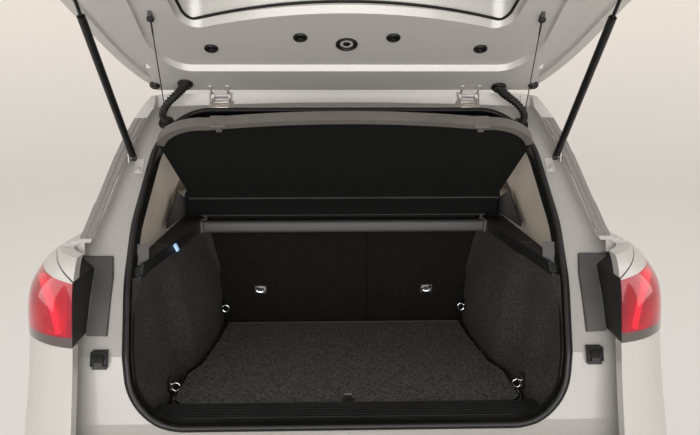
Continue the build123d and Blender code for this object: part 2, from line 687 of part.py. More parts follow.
def make_seat_brackets():
    stands = []
    for x in (-SEAT_HALF - 8, SEAT_SPLIT, SEAT_HALF + 8):
        stand = box((x - 3, x + 3), (SEAT_PIVOT_Y - 40, SEAT_PIVOT_Y + 40), (FLOOR_PAN_TOP, SEAT_PIVOT_Z - 30))
        ear = Pos(x, SEAT_PIVOT_Y, SEAT_PIVOT_Z) * Rot(0, 90, 0) * Cylinder(18, 6)
        neck = box((x - 3, x + 3), (SEAT_PIVOT_Y - 16, SEAT_PIVOT_Y + 16), (SEAT_PIVOT_Z - 40, SEAT_PIVOT_Z))
        foot = box((x - 8, x + 8), (SEAT_PIVOT_Y - 40, SEAT_PIVOT_Y + 40), (FLOOR_PAN_TOP, FLOOR_PAN_TOP + 5))
        stands.append(stand + ear + neck + foot)
    rod = Pos(0, SEAT_PIVOT_Y, SEAT_PIVOT_Z) * Rot(0, 90, 0) * Cylinder(7, 2 * SEAT_HALF + 26)
    whole = stands[0] + stands[1] + stands[2] + rod
    return whole


# Gas struts
def ball_socket(place):
    return Pos(place[0] - 2, place[1], place[2]) * Rot(0, 90, 0) * Cylinder(10, 12)


def ball_room(place):
    return Pos(place[0], place[1], place[2]) * Rot(0, 90, 0) * Cylinder(
        BALL_R + 0.3, 30, align=(Align.CENTER, Align.CENTER, Align.MIN)) + Pos(*place) * Rot(0, 90, 0) * Cylinder(
        BALL_R + 0.3, 13.2)


def make_strut_tube():
    """Drawn at the shut tailgate: tube with its end cap and socket."""
    run = Vector(*STRUT_GATE) - Vector(*STRUT_BODY)
    way = run.normalized()
    start = Vector(*STRUT_BODY)
    frame = Plane(origin=start, z_dir=way)
    tube = frame * Pos(0, 0, 14) * extrude(Circle(STRUT_TUBE_R), STRUT_TUBE_LENGTH - 14)
    bore = frame * Pos(0, 0, 30) * extrude(Circle(STRUT_ROD_R + 2.5), STRUT_TUBE_LENGTH)
    neck = frame * Pos(0, 0, 8) * extrude(Circle(5.5), 8)
    return (tube - bore) + (neck + ball_socket(STRUT_BODY) - ball_room(STRUT_BODY))


def make_strut_rod():
    run = Vector(*STRUT_BODY) - Vector(*STRUT_GATE)
    frame = Plane(origin=Vector(*STRUT_GATE), z_dir=run.normalized())
    rod = frame * Pos(0, 0, 8) * extrude(Circle(STRUT_ROD_R), run.length - 8 - 40)
    return rod + ball_socket(STRUT_GATE) - ball_room(STRUT_GATE)


def channel_y(z):
    """The channel line's y at a height."""
    for (y0, z0), (y1, z1) in zip(CHANNEL_LINE, CHANNEL_LINE[1:]):
        if z1 <= z <= z0:
            return y0 + (y1 - y0) * (z0 - z) / (z0 - z1)


def ball_stud(place, reach, back):
    """Ball on a stem that stands on a bracket plate running from the ball to the channel side."""
    x, y, z = place
    ball = Rot(0, 90, 0) * Sphere(BALL_R)
    stem = Pos(7, 0, 0) * Rot(0, 90, 0) * Cylinder(3.5, 8)
    points = [(y + back, z - 14), (y + back, z + 14), (reach(z + 14), z + 14), (reach(z - 14), z - 14)]
    face = Plane.YZ * make_face(Polyline(*points, close=True))
    plate = Pos(x + 10.5, 0, 0) * extrude(face, 3.5)
    return Pos(x, y, z) * (ball + stem) + plate


def make_strut_brackets():
    """Ball studs on the channel."""
    return both(ball_stud(STRUT_BODY, channel_y, -12))


def make_gate_studs():
    return both(ball_stud(STRUT_GATE, lambda z: channel_y(z) - STRUT_ROOM, 12))


# Running gear: y and z of the points in side view
RIM_FACE_X = 800
HUB_FACE_X = 668                # inner end of the wheel's hub
ARM_X = 575
ARM_PIVOT = (-50, 325)
BEAM = (-290, 300)
SPRING_X, SPRING_Y, SPRING_FOOT = 434, -400, 322
DAMPER_X, DAMPER_FOOT, DAMPER_NECK, DAMPER_TOP = 560, (-561, 310), (-548, 560), (-536, 722)


def make_axle():
    """Twist beam: cross tube and two trailing arms to the hub carriers."""
    beam = Pos(0, *BEAM) * Rot(0, 90, 0) * Cylinder(34, 2 * ARM_X - 30)
    bush = Pos(ARM_X, *ARM_PIVOT) * Rot(0, 90, 0) * Cylinder(30, 56)
    front = bush + rod_between((ARM_X, *ARM_PIVOT), (ARM_X, *BEAM), 26)
    front -= Pos(ARM_X, *ARM_PIVOT) * Rot(0, 90, 0) * Cylinder(8.3, 90)
    rear = rod_between((ARM_X, *BEAM), (ARM_X + 15, AXLE_Y, TYRE_R), 26)
    plate = box((560, 612), (AXLE_Y - 55, AXLE_Y + 55), (TYRE_R - 50, TYRE_R + 50))
    seat = Pos(SPRING_X, SPRING_Y, SPRING_FOOT - 4) * Cylinder(62, 8)
    tongue = box((SPRING_X + 6, ARM_X + 25), (SPRING_Y - 25, SPRING_Y + 40), (SPRING_FOOT - 16, SPRING_FOOT))
    arm = front + rear + plate + seat + tongue
    return beam + arm + mirror(arm, Plane.YZ)


def make_axle_brackets():
    length = (ARM_PIVOT[0] - 34, ARM_PIVOT[0] + 34)
    height = (ARM_PIVOT[1] - 25, FLOOR_PAN_TOP - FLOOR_PAN_THICK)
    bracket = Pos(ARM_X, *ARM_PIVOT) * Rot(0, 90, 0) * Cylinder(8, 90)
    for x in (ARM_X - 37, ARM_X + 37):
        bracket += box((x - 3, x + 3), length, height)
    return both(bracket)


def make_springs():
    coil = Helix(pitch=28, height=105, radius=48)
    wire = Plane(origin=coil @ 0, z_dir=coil % 0) * Circle(6.5)
    spring = Pos(SPRING_X, SPRING_Y, SPRING_FOOT + 6.5) * sweep(wire, path=coil)
    return both(spring)


def make_dampers():
    foot, neck, top = [(DAMPER_X, *point) for point in (DAMPER_FOOT, DAMPER_NECK, DAMPER_TOP)]
    body = rod_between(foot, neck, 21) + rod_between(neck, top, 7)
    eye = Pos(foot[0], foot[1], foot[2] - 4) * Rot(0, 90, 0) * Cylinder(18, 40)
    lug = box((DAMPER_X - 20, DAMPER_X + 20), (foot[1] + 5, AXLE_Y - 55), (foot[2] - 12, foot[2] + 4))
    return both(body + eye + lug)


def make_hub(side):
    return Pos(side * 666, AXLE_Y, TYRE_R) * Rot(0, 90, 0) * Cylinder(30, 108)


def make_rim(side):
    """Alloy wheel: barrel, hub disc, ten spokes in five pairs, and its brake disc."""
    x0 = side * WHEEL_X
    barrel = Pos(x0, AXLE_Y, TYRE_R) * Rot(0, 90, 0) * (Cylinder(RIM_R, 200) - Cylinder(RIM_R - 10, 210))
    lip = Pos(x0 + side * 97, AXLE_Y, TYRE_R) * Rot(0, 90, 0) * (Cylinder(RIM_R + 8, 8) - Cylinder(RIM_R - 12, 12))
    face = Pos(side * RIM_FACE_X, AXLE_Y, TYRE_R) * Rot(0, 90, 0) * Cylinder(72, 36)
    wheel = barrel + lip + face
    for i in range(5):
        for turn_by in (-9, 9):
            spoke = Pos(side * RIM_FACE_X, AXLE_Y, TYRE_R) * Rot(i * 72 + turn_by, 0, 0) * (
                Pos(0, 0, 142) * Box(26, 26, 160))
            wheel += spoke
    hub_mid = side * (HUB_FACE_X + RIM_FACE_X) / 2
    hub = Pos(hub_mid, AXLE_Y, TYRE_R) * Rot(0, 90, 0) * Cylinder(60, RIM_FACE_X - HUB_FACE_X)
    disc = Pos(side * 676, AXLE_Y, TYRE_R) * Rot(0, 90, 0) * Cylinder(135, 12)
    bore = Pos(side * 661, AXLE_Y, TYRE_R) * Rot(0, 90, 0) * Cylinder(30.3, 122)
    return (wheel + hub + disc) - bore


def make_tyre(side):
    half = TYRE_WIDTH / 2
    points = [(RIM_R + 0.5, -85), (RIM_R + 28, -half), (TYRE_R - 45, -half), (TYRE_R - 8, -half + 14), (TYRE_R, -half + 40),
              (TYRE_R, half - 40), (TYRE_R - 8, half - 14), (TYRE_R - 45, half), (RIM_R + 28, half), (RIM_R + 0.5, 85)]
    ring = revolve(Plane.XZ * make_face(Polyline(*points, close=True)), Axis.Z)
    return Pos(side * WHEEL_X, AXLE_Y, TYRE_R) * Rot(0, 90, 0) * ring


def make_tie_downs():
    loops = []
    for x, y, z in ((474, -345, 795), (541, -940, 745)):
        ring = Pos(x - 17, y, z - 8) * Rot(90, 0, 0) * Torus(13, 3)
        plate = box((x - 6, x), (y - 17, y + 17), (z - 19, z + 19))
        loops.append(plate + ring)
    return both(solids_of(*loops))


def make_striker():
    base = box((-30, 30), (-1187, -1180), (665, 700))
    bow = box((-18, 18), (-1208, -1184), (678, 686)) - box((-10, 10), (-1200, -1187), (670, 690))
    return base + bow


def make_latch():
    return box((-24, 24), (-1180 - STRUT_ROOM, -1180 - STRUT_ROOM + 20), (672, 696))


def raised_shelf(shape):
    return turn(shape, SHELF_HINGE_Y, SHELF_HINGE_Z, SHELF_OPEN)


def raised(shape):
    return turn(shape, HINGE_Y, HINGE_Z, GATE_OPEN)


def strut_pose(shape, rod):
    """Moves a strut drawn at the shut tailgate to the open one."""
    tip = turned(STRUT_GATE, HINGE_Y, HINGE_Z, GATE_OPEN)
    by, bz = STRUT_BODY[1:]
    before = math.degrees(math.atan2(STRUT_GATE[2] - bz, STRUT_GATE[1] - by))
    after = math.degrees(math.atan2(tip[2] - bz, tip[1] - by))
    swung = turn(shape, by, bz, before - after)
    if not rod:
        return swung
    shut = math.dist(STRUT_BODY, STRUT_GATE)
    length = math.dist(STRUT_BODY, tip)
    way = (Vector(*tip) - Vector(*STRUT_BODY)).normalized()
    return Pos(*(way * (length - shut))) * swung


def cord_line(radius, beyond=0.0):
    """The right-hand lifting cord of the parcel shelf, taut at the raised tailgate."""
    hook = Vector(*turned(CORD_HOOK, HINGE_Y, HINGE_Z, GATE_OPEN))
    eye = (EYE_X, EYE_Y, SHELF_HINGE_Z + SHELF_THICK / 2 + 20)
    eye = Vector(*turned(eye, SHELF_HINGE_Y, SHELF_HINGE_Z, SHELF_OPEN))
    way = (hook - eye).normalized()
    return rod_between(hook + way * beyond, eye, radius)


def make_cord_hooks():
    """Hooks on the sunk field of the tailgate, bored along the taut cords."""
    x, y, z = CORD_HOOK
    peg = box((x - 5, x + 5), (y - 60, y + 4), (z - 7, z + 7)) - behind(LAND_DEPTH + RECESS_DEPTH)
    return raised(both(peg)) - both(cord_line(CORD_R + 0.4, 12))


crossmember, tray = make_floor_supports()
quarter = make_quarter_panels()
tube, rod = make_strut_tube(), make_strut_rod()
stop_frames, stop_pads = make_bump_stops()

NODES = {
    "quarter_panel_right": quarter,
    "quarter_panel_left": mirror(quarter, Plane.YZ),
    "roof_panel": make_roof(),
    "quarter_glasses": both(make_quarter_glass()),
    "opening_frame": make_opening_frame(),
    "rear_panel": make_rear_panel(),
    "weatherstrip": make_weatherstrip(),
    "bumper_cover": make_bumper(),
    "bumper_valance": make_valance(),
    "arch_claddings": make_claddings(),
    "wheelhouses": make_wheelhouses(),
    "floor_pan": make_floor_pan() + crossmember,
    "frame_rails": make_rails(),
    "tail_lamp_housings": both(make_lamp_housings()),
    "tail_lamp_lenses": both(make_lamp_lenses()),
    "tail_lamp_surrounds": make_lamp_surrounds(),
    "bump_stops": solids_of(stop_frames, stop_pads),
    "side_trims": both(make_side_trim()),
    "side_ledges": make_side_ledges(),
    "pillar_trims": make_pillar_trims(),
    "headliner": make_headliner(),
    "shelf_bar": make_shelf_bar(),
    "tool_tray": tray,
    "sill_trim": make_sill_trim(),
    "tie_downs": make_tie_downs(),
    "striker": make_striker(),
    "hinge_leaves": make_hinge_leaves(),
    "strut_brackets": make_strut_brackets(),
    "seat_brackets": make_seat_brackets(),
    "rear_axle": make_axle() + make_hub(1) + make_hub(-1),
    "axle_brackets": make_axle_brackets(),
    "springs": make_springs(),
    "dampers": make_dampers(),
    "load_floor": make_load_floor(),
    "load_floor_strap": make_load_floor_strap(),
    "seat_back_left": seat_section(-1),
    "seat_back_right": seat_section(1),
    "headrests_left": solids_of(headrest(-300), headrest(-60)),
    "headrest_right": headrest(275),
    "seat_arms_left": solids_of(pivot_arm(-SEAT_HALF + 10), pivot_arm(SEAT_SPLIT - 14)),
    "seat_arms_right": solids_of(pivot_arm(SEAT_HALF - 10), pivot_arm(SEAT_SPLIT + 14)),
    "parcel_shelf": raised_shelf(make_shelf()),
    "shelf_pegs": raised_shelf(make_shelf_eyes()),
    "shelf_cords": both(cord_line(CORD_R)),
    "tailgate_panel": raised(make_gate_panel()),
    "tailgate_glass": raised(make_gate_glass()),
    "tailgate_lamps": raised(make_gate_lamps()),
    "tailgate_trim": raised(make_gate_trim()),
    "tailgate_plugs": raised(make_plugs()),
    "tailgate_hinge_arms": raised(make_gate_arms()),
    "tailgate_fittings": solids_of(raised(solids_of(make_gate_studs(), make_latch())), make_cord_hooks()),
    "strut_tube_right": strut_pose(tube, False),
    "strut_tube_left": mirror(strut_pose(tube, False), Plane.YZ),
    "strut_rod_right": strut_pose(rod, True),
    "strut_rod_left": mirror(strut_pose(rod, True), Plane.YZ),
}
for name, side in SIDES:
    NODES["wheel_rim_" + name] = make_rim(side)
    NODES["tyre_" + name] = make_tyre(side)

os.makedirs("parts", exist_ok=True)
for name, shape in NODES.items():
    export_step(Pos(0, 0, -ORIGIN_HEIGHT) * shape, "parts/" + name + ".step")
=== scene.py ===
"""Looks of a compact crossover's rear body section: finishes, soft trim, small parts, stage, light and camera."""

import json
import math

import bmesh
import bpy
from bpy.props import FloatProperty, FloatVectorProperty, IntProperty, PointerProperty
from mathutils import Matrix, Vector


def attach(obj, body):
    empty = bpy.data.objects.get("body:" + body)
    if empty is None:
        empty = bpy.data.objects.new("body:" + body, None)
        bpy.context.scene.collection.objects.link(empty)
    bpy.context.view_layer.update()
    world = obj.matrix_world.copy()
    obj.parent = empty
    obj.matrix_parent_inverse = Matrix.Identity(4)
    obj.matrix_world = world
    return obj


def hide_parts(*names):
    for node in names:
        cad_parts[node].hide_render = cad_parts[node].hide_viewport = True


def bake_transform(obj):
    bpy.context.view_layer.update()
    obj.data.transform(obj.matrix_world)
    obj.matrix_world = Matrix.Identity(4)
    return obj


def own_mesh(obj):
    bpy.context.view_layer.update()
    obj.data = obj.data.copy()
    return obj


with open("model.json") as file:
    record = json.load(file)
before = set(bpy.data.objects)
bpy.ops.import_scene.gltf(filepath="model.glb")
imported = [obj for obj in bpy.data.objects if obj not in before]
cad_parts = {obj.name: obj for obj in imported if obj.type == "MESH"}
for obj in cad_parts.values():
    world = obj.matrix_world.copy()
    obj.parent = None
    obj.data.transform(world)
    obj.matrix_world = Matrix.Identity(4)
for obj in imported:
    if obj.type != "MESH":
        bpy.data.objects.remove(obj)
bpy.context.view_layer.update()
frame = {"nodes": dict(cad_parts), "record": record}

bl_info = {
    "name": "Crossover rear section",
    "version": (1, 0, 0),
    "blender": (4, 5, 0),
    "location": "View3D > Sidebar > Crossover",
    "description": "Dresses the rear section of a compact crossover with its finishes, trim and studio",
    "category": "Object",
}

# The part's own measures, in millimetres above the ground, as in its source
ORIGIN_HEIGHT = 530
CHANNEL_LINE = [(-549, 1700), (-655, 1572), (-935, 1235), (-1060, 1060), (-1145, 920), (-1180, 740),
                (-1180, 100)]
OPENING_CORNERS = [(585, 730, 150), (618, 1100, 400), (618, 1240, 400), (572, 1554, 165)]
WINDOW_CORNERS = [(486, 1130, 55), (454, 1359, 55)]
WINDOW_DIP = 1292
HINGE = (-645, 1607)
GATE_OPEN = 80
SHELF_HINGE = (-410, 1165)
SHELF_OPEN = 37.5
AXLE = (-480, 345)
TRIM_HEIGHTS = (540, 760, 860, 980, 1108)
TRIM_ROWS = [
    (-180, 474, 474, 474, 500, 530),
    (-268, 474, 474, 474, 500, 530),
    (-500, 474, 475, 476, 500, 545),
    (-720, 500, 506, 520, 540, 560),
    (-800, 535, 541, 590, 600, 575),
    (-1020, 540, 546, 600, 606, 590),
    (-1154, 560, 566, 585, 592, 596),
]
GROUND = -ORIGIN_HEIGHT / 1000
LENS_FOOT = (1000 - ORIGIN_HEIGHT) / 1000       # the lamp covers are smoky below this
SEAT_PIVOT = (-250, 668)
SEAT_LEAN = 11
WHEEL_X = 772
SIDES = (("left", -1), ("right", 1))


# Places
def place(x, y, h):
    """Frame position of a point given in millimetres, with its height above the ground."""
    return Vector((x, y, h - ORIGIN_HEIGHT)) / 1000


def swung(point, pivot, degrees):
    """A point in the frame, turned about a cross-car axis; positive lifts what is behind it."""
    centre = place(0, *pivot)
    turn = Matrix.Rotation(math.radians(-degrees), 4, "X")
    return centre + turn @ (Vector(point) - centre)


def gate_point(x, y, h):
    """A point drawn on the shut tailgate, at its open rest pose."""
    return swung(place(x, y, h), HINGE, GATE_OPEN)


def shelf_point(x, y, h):
    """A point drawn on the lowered parcel shelf, at its raised rest pose."""
    return swung(place(x, y, h), SHELF_HINGE, SHELF_OPEN)


def channel_y(h):
    """The channel's y at a height."""
    for (y0, z0), (y1, z1) in zip(CHANNEL_LINE, CHANNEL_LINE[1:]):
        if z1 <= h <= z0:
            return y0 + (y1 - y0) * (z0 - h) / (z0 - z1)
    return CHANNEL_LINE[-1][0]


def channel_normal(h):
    """Rearward normal of the channel at a height, eased over its kinks."""
    y0, y1 = channel_y(min(h + 40, 1690)), channel_y(max(h - 40, 110))
    along = Vector((0, y0 - y1, min(h + 40, 1690) - max(h - 40, 110)))
    return Vector((0, -along.z, along.y)).normalized()


def rounded_outline(corners, steps=10):
    """Closed line through (x, h, radius) corners and their mirror image, as (x, h) pairs."""
    full = list(corners) + [(-x, h, r) for x, h, r in reversed(corners)]
    points = []
    for i, (x, h, r) in enumerate(full):
        corner = Vector((x, h))
        back = (Vector(full[i - 1][:2]) - corner).normalized()
        ahead = (Vector(full[(i + 1) % len(full)][:2]) - corner).normalized()
        half = back.angle(ahead) / 2
        start = corner + back * (r / math.tan(half))
        middle = corner + (back + ahead).normalized() * (r / math.sin(half))
        end = corner + ahead * (r / math.tan(half))
        a = start - middle
        sweep_angle = a.angle_signed(end - middle)
        count = max(2, int(steps * abs(sweep_angle) / 0.8))
        for k in range(count + 1):
            angle = -sweep_angle * k / count
            points.append(middle + Vector((a.x * math.cos(angle) - a.y * math.sin(angle),
                                           a.x * math.sin(angle) + a.y * math.cos(angle))))
    return points


def dense(points, gap, closed=True):
    """The same line with no stretch longer than a gap."""
    out = []
    pairs = list(zip(points, points[1:] + points[:1])) if closed else list(zip(points, points[1:]))
    for a, b in pairs:
        count = max(1, int((b - a).length / gap))
        out += [a.lerp(b, k / count) for k in range(count)]
    if not closed:
        out.append(points[-1])
    return out


# Meshes
class Build:
    """Gathers shapes into one mesh object."""

    def __init__(self):
        self.verts, self.faces = [], []

    def add(self, verts, faces, matrix=None):
        base = len(self.verts)
        self.verts += [matrix @ Vector(v) if matrix else Vector(v) for v in verts]
        self.faces += [[base + i for i in face] for face in faces]
        return self

    def mirrored(self):
        """Adds the mirror image across the car's middle."""
        base = len(self.verts)
        self.verts += [Vector((-v.x, v.y, v.z)) for v in self.verts[:base]]
        self.faces += [[base + i for i in reversed(face)] for face in list(self.faces)]
        return self

    def object(self, name, material, body, replaces=(), sharp=35, thick=0, bevel=0):
        mesh = bpy.data.meshes.new(name)
        mesh.from_pydata(self.verts, [], self.faces)
        tidy = bmesh.new()
        tidy.from_mesh(mesh)
        bmesh.ops.remove_doubles(tidy, verts=tidy.verts, dist=1e-6)
        bmesh.ops.recalc_face_normals(tidy, faces=tidy.faces)
        tidy.to_mesh(mesh)
        tidy.free()
        obj = bpy.data.objects.new(name, mesh)
        bpy.context.scene.collection.objects.link(obj)
        if thick:
            solid = obj.modifiers.new("thickness", "SOLIDIFY")
            solid.thickness, solid.offset = abs(thick), 1 if thick > 0 else -1
        if bevel:
            rounding = obj.modifiers.new("rounding", "BEVEL")
            rounding.width, rounding.segments, rounding.limit_method = bevel, 2, "ANGLE"
            rounding.angle_limit = math.radians(40)
        mesh.polygons.foreach_set("use_smooth", [True] * len(mesh.polygons))
        mesh.set_sharp_from_angle(angle=math.radians(sharp))
        set_material(obj, MATERIALS[material])
        if body:
            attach(obj, body)
        if replaces:
            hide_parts(*replaces)
        return obj


def axes(place_at, axis, up=(0, 0, 1)):
    """Matrix that puts local +Z along an axis, at a place."""
    z = Vector(axis).normalized()
    x = Vector(up).cross(z)
    x = x.normalized() if x.length > 1e-4 else Vector((1, 0, 0))
    y = z.cross(x)
    matrix = Matrix((x, y, z)).transposed().to_4x4()
    matrix.translation = Vector(place_at)
    return matrix


def lathe(profile, segments=32):
    """Verts and faces of (radius, height) points turned about local Z, in metres."""
    verts, faces = [], []
    for i in range(segments):
        angle = 2 * math.pi * i / segments
        verts += [(r * math.cos(angle), r * math.sin(angle), z) for r, z in profile]
    n = len(profile)
    for i in range(segments):
        j = (i + 1) % segments
        faces += [[i * n + k, j * n + k, j * n + k + 1, i * n + k + 1] for k in range(n - 1)]
    return verts, faces


def block(size, corner=0.2):
    """Verts and faces of a box with cut corners all round, centred, in metres."""
    x, y, z = (s / 2 for s in size)
    c = min(size) * corner
    verts = []
    rings = [(-z, c), (-z + c, 0), (z - c, 0), (z, c)]
    for level, inset in rings:
        a, b = x - inset, y - inset
        verts += [(a - c, b, level), (a, b - c, level), (a, -b + c, level), (a - c, -b, level),
                  (-a + c, -b, level), (-a, -b + c, level), (-a, b - c, level), (-a + c, b, level)]
    faces = [[i + r * 8, (i + 1) % 8 + r * 8, (i + 1) % 8 + (r + 1) * 8, i + (r + 1) * 8]
             for r in range(3) for i in range(8)]
    return verts, faces + [list(range(8))[::-1], list(range(24, 32))]


def sweep(path, outs, ups, profile, closed=True):
    """Verts and faces of a closed (u, v) profile in metres carried along a path with its two axes."""
    verts, faces = [], []
    n, m = len(path), len(profile)
    for centre, out, up in zip(path, outs, ups):
        verts += [centre + out * u + up * v for u, v in profile]
    for i in range(n if closed else n - 1):
        j = (i + 1) % n
        faces += [[i * m + k, j * m + k, j * m + (k + 1) % m, i * m + (k + 1) % m] for k in range(m)]
    if not closed:
        faces += [list(range(m))[::-1], [(n - 1) * m + k for k in range(m)]]
    return verts, faces


def round_profile(radius, count):
    """(u, v) points of a circle."""
    return [(radius * math.cos(2 * math.pi * k / count), radius * math.sin(2 * math.pi * k / count))
            for k in range(count)]


def tube(path, radius, count=10):
    """Verts and faces of a round bar along points in the frame; radius may be a list."""
    radii = radius if isinstance(radius, list) else [radius] * len(path)
    path = [Vector(p) for p in path]
    verts, faces = [], []
    out = None
    for i, centre in enumerate(path):
        run = (path[min(i + 1, len(path) - 1)] - path[max(i - 1, 0)]).normalized()
        if out is None:
            out = run.orthogonal().normalized()
        out = (out - run * out.dot(run)).normalized()
        side = run.cross(out)
        verts += [centre + (out * u + side * v) * radii[i] for u, v in round_profile(1, count)]
    for i in range(len(path) - 1):
        faces += [[i * count + k, (i + 1) * count + k, (i + 1) * count + (k + 1) % count,
                   i * count + (k + 1) % count] for k in range(count)]
    faces += [list(range(count))[::-1], [(len(path) - 1) * count + k for k in range(count)]]
    return verts, faces


def smooth_path(points, gap):
    """Points along the NURBS curve with these control points."""
    curve = bpy.data.curves.new("route", "CURVE")
    curve.dimensions = "3D"
    spline = curve.splines.new("NURBS")
    spline.points.add(len(points) - 1)
    for target, point in zip(spline.points, points):
        target.co = (*point, 1)
    spline.use_endpoint_u = True
    spline.order_u = 3
    spline.resolution_u = 24
    obj = bpy.data.objects.new("route", curve)
    mesh = bpy.data.meshes.new_from_object(obj)
    line = [v.co.copy() for v in mesh.vertices]
    bpy.data.objects.remove(obj)
    bpy.data.curves.remove(curve)
    bpy.data.meshes.remove(mesh)
    out, walked = [line[0]], 0.0
    for a, b in zip(line, line[1:]):
        walked += (b - a).length
        if walked >= gap:
            out.append(b)
            walked = 0.0
    if (out[-1] - line[-1]).length > gap * 0.3:
        out.append(line[-1])
    return out


def grid(rows):
    """Verts and faces of a surface through rows of points of equal length."""
    n = len(rows[0])
    verts = [p for row in rows for p in row]
    faces = [[i * n + k, (i + 1) * n + k, (i + 1) * n + k + 1, i * n + k + 1]
             for i in range(len(rows) - 1) for k in range(n - 1)]
    return verts, faces


def on_node(node, start, direction):
    """Where a ray in the frame meets a CAD node, and the surface normal there."""
    obj = frame["nodes"][node]
    inverse = obj.matrix_world.inverted()
    hit, spot, normal, _ = obj.ray_cast(inverse @ Vector(start), inverse.to_3x3() @ Vector(direction))
    if not hit:
        raise ValueError("no surface of " + node + " at " + str(start))
    return obj.matrix_world @ spot, (obj.matrix_world.to_3x3() @ normal).normalized()


def bolt(radius, height):
    """Verts and faces of a hexagon head on a washer, standing on local z 0."""
    washer = lathe([(0, 0), (radius * 1.35, 0), (radius * 1.35, height * 0.25), (0, height * 0.25)], 24)
    head = lathe([(radius * 0.98, height * 0.25), (radius, height * 0.85), (radius * 0.86, height), (0, height)], 6)
    base = len(washer[0])
    return washer[0] + head[0], washer[1] + [[base + i for i in face] for face in head[1]]


# Repeated shapes
def repeat_tree():
    """Node group that repeats an object, each copy one step and one turn further on."""
    tree = bpy.data.node_groups.get("Repeat")
    if tree:
        return tree
    tree = bpy.data.node_groups.new("Repeat", "GeometryNodeTree")
    for name, kind in (("Unit", "Object"), ("Count", "Int"), ("Step", "Vector"), ("Turn", "Vector"),
                       ("Finish", "Material")):
        tree.interface.new_socket(name, in_out="INPUT", socket_type="NodeSocket" + kind)
    tree.interface.new_socket("Geometry", in_out="OUTPUT", socket_type="NodeSocketGeometry")
    inputs = tree.nodes.new("NodeGroupInput").outputs
    line = add_node(tree, "GeometryNodeMeshLine", {"Count": inputs["Count"], "Offset": inputs["Step"]})
    unit = add_node(tree, "GeometryNodeObjectInfo", {"Object": inputs["Unit"]})
    index = add_node(tree, "GeometryNodeInputIndex")
    turn = add_node(tree, "ShaderNodeVectorMath", {0: inputs["Turn"], "Scale": index}, operation="SCALE")
    copies = add_node(tree, "GeometryNodeInstanceOnPoints",
                      {"Points": line, "Instance": unit.outputs["Geometry"], "Rotation": turn})
    real = add_node(tree, "GeometryNodeRealizeInstances", {"Geometry": copies})
    finish = add_node(tree, "GeometryNodeSetMaterial", {"Geometry": real, "Material": inputs["Finish"]})
    tree.links.new(finish.outputs[0], tree.nodes.new("NodeGroupOutput").inputs[0])
    return tree


def repeated(unit, count, finish, step=(0.0, 0.0, 0.0), turn=(0.0, 0.0, 0.0)):
    """Verts and faces of a shape repeated by Geometry Nodes, with steps in metres and turns in radians."""
    tree = repeat_tree()
    mesh = bpy.data.meshes.new("unit")
    mesh.from_pydata(unit.verts, [], unit.faces)
    source, carrier = bpy.data.objects.new("unit", mesh), bpy.data.objects.new("carrier", bpy.data.meshes.new("carrier"))
    for obj in (source, carrier):
        bpy.context.scene.collection.objects.link(obj)
    modifier = carrier.modifiers.new("repeat", "NODES")
    modifier.node_group = tree
    values = {"Unit": source, "Count": count, "Step": step, "Turn": turn, "Finish": MATERIALS[finish]}
    for item in tree.interface.items_tree:
        if item.in_out == "INPUT":
            modifier[item.identifier] = values[item.name]
    bpy.context.view_layer.update()
    plain = bpy.data.meshes.new_from_object(carrier.evaluated_get(bpy.context.evaluated_depsgraph_get()))
    shape = [v.co.copy() for v in plain.vertices], [list(face.vertices) for face in plain.polygons]
    for obj in (carrier, source):
        bpy.data.objects.remove(obj)
    bpy.data.meshes.remove(plain)
    return shape


# Materials
def colour(value):
    """Linear RGBA of an sRGB hex colour; a property's colour is linear already."""
    if not isinstance(value, str):
        return (*value, 1.0)
    parts = [int(value[i:i + 2], 16) / 255 for i in (1, 3, 5)]
    linear = [c / 12.92 if c <= 0.04045 else ((c + 0.055) / 1.055) ** 2.4 for c in parts]
    return (*linear, 1.0)


def add_node(tree, kind, links=None, to=None, stops=(), **values):
    """Adds a node, sets its properties, plain inputs and ramp stops, and links it.

    Links are {input: socket}, where a node stands for its first output, and "to" is where its own first output goes.
    """
    node = tree.nodes.new(kind)
    for key, value in values.items():
        if hasattr(node, key):
            setattr(node, key, value)
        else:
            node.inputs[key.replace("_", " ")].default_value = value
    for name, source in (links or {}).items():
        tree.links.new(source.outputs[0] if isinstance(source, bpy.types.Node) else source, node.inputs[name])
    if stops:
        elements = node.color_ramp.elements
        while len(elements) < len(stops):
            elements.new(0.5)
        for element, (position, shade) in zip(elements, stops):
            element.position, element.color = position, colour(shade)
    if to is not None:
        tree.links.new(node.outputs[0], to)
    return node


def per_metre(size):
    """Scale of a pattern whose spots are a size in millimetres across."""
    return 1000 / size


def new_material(name, base, roughness, metallic=0.0, **sockets):
    """A Principled material with the constants on its own sockets: itself, its tree, shader and object space."""
    material = bpy.data.materials.new(name)
    material.use_nodes = True
    tree = material.node_tree
    shader = tree.nodes["Principled BSDF"]
    shader.inputs["Base Color"].default_value = colour(base)
    shader.inputs["Roughness"].default_value = roughness
    shader.inputs["Metallic"].default_value = metallic
    for key, value in sockets.items():
        shader.inputs[key.replace("_", " ")].default_value = value
    return material, tree, shader, add_node(tree, "ShaderNodeTexCoord").outputs["Object"]


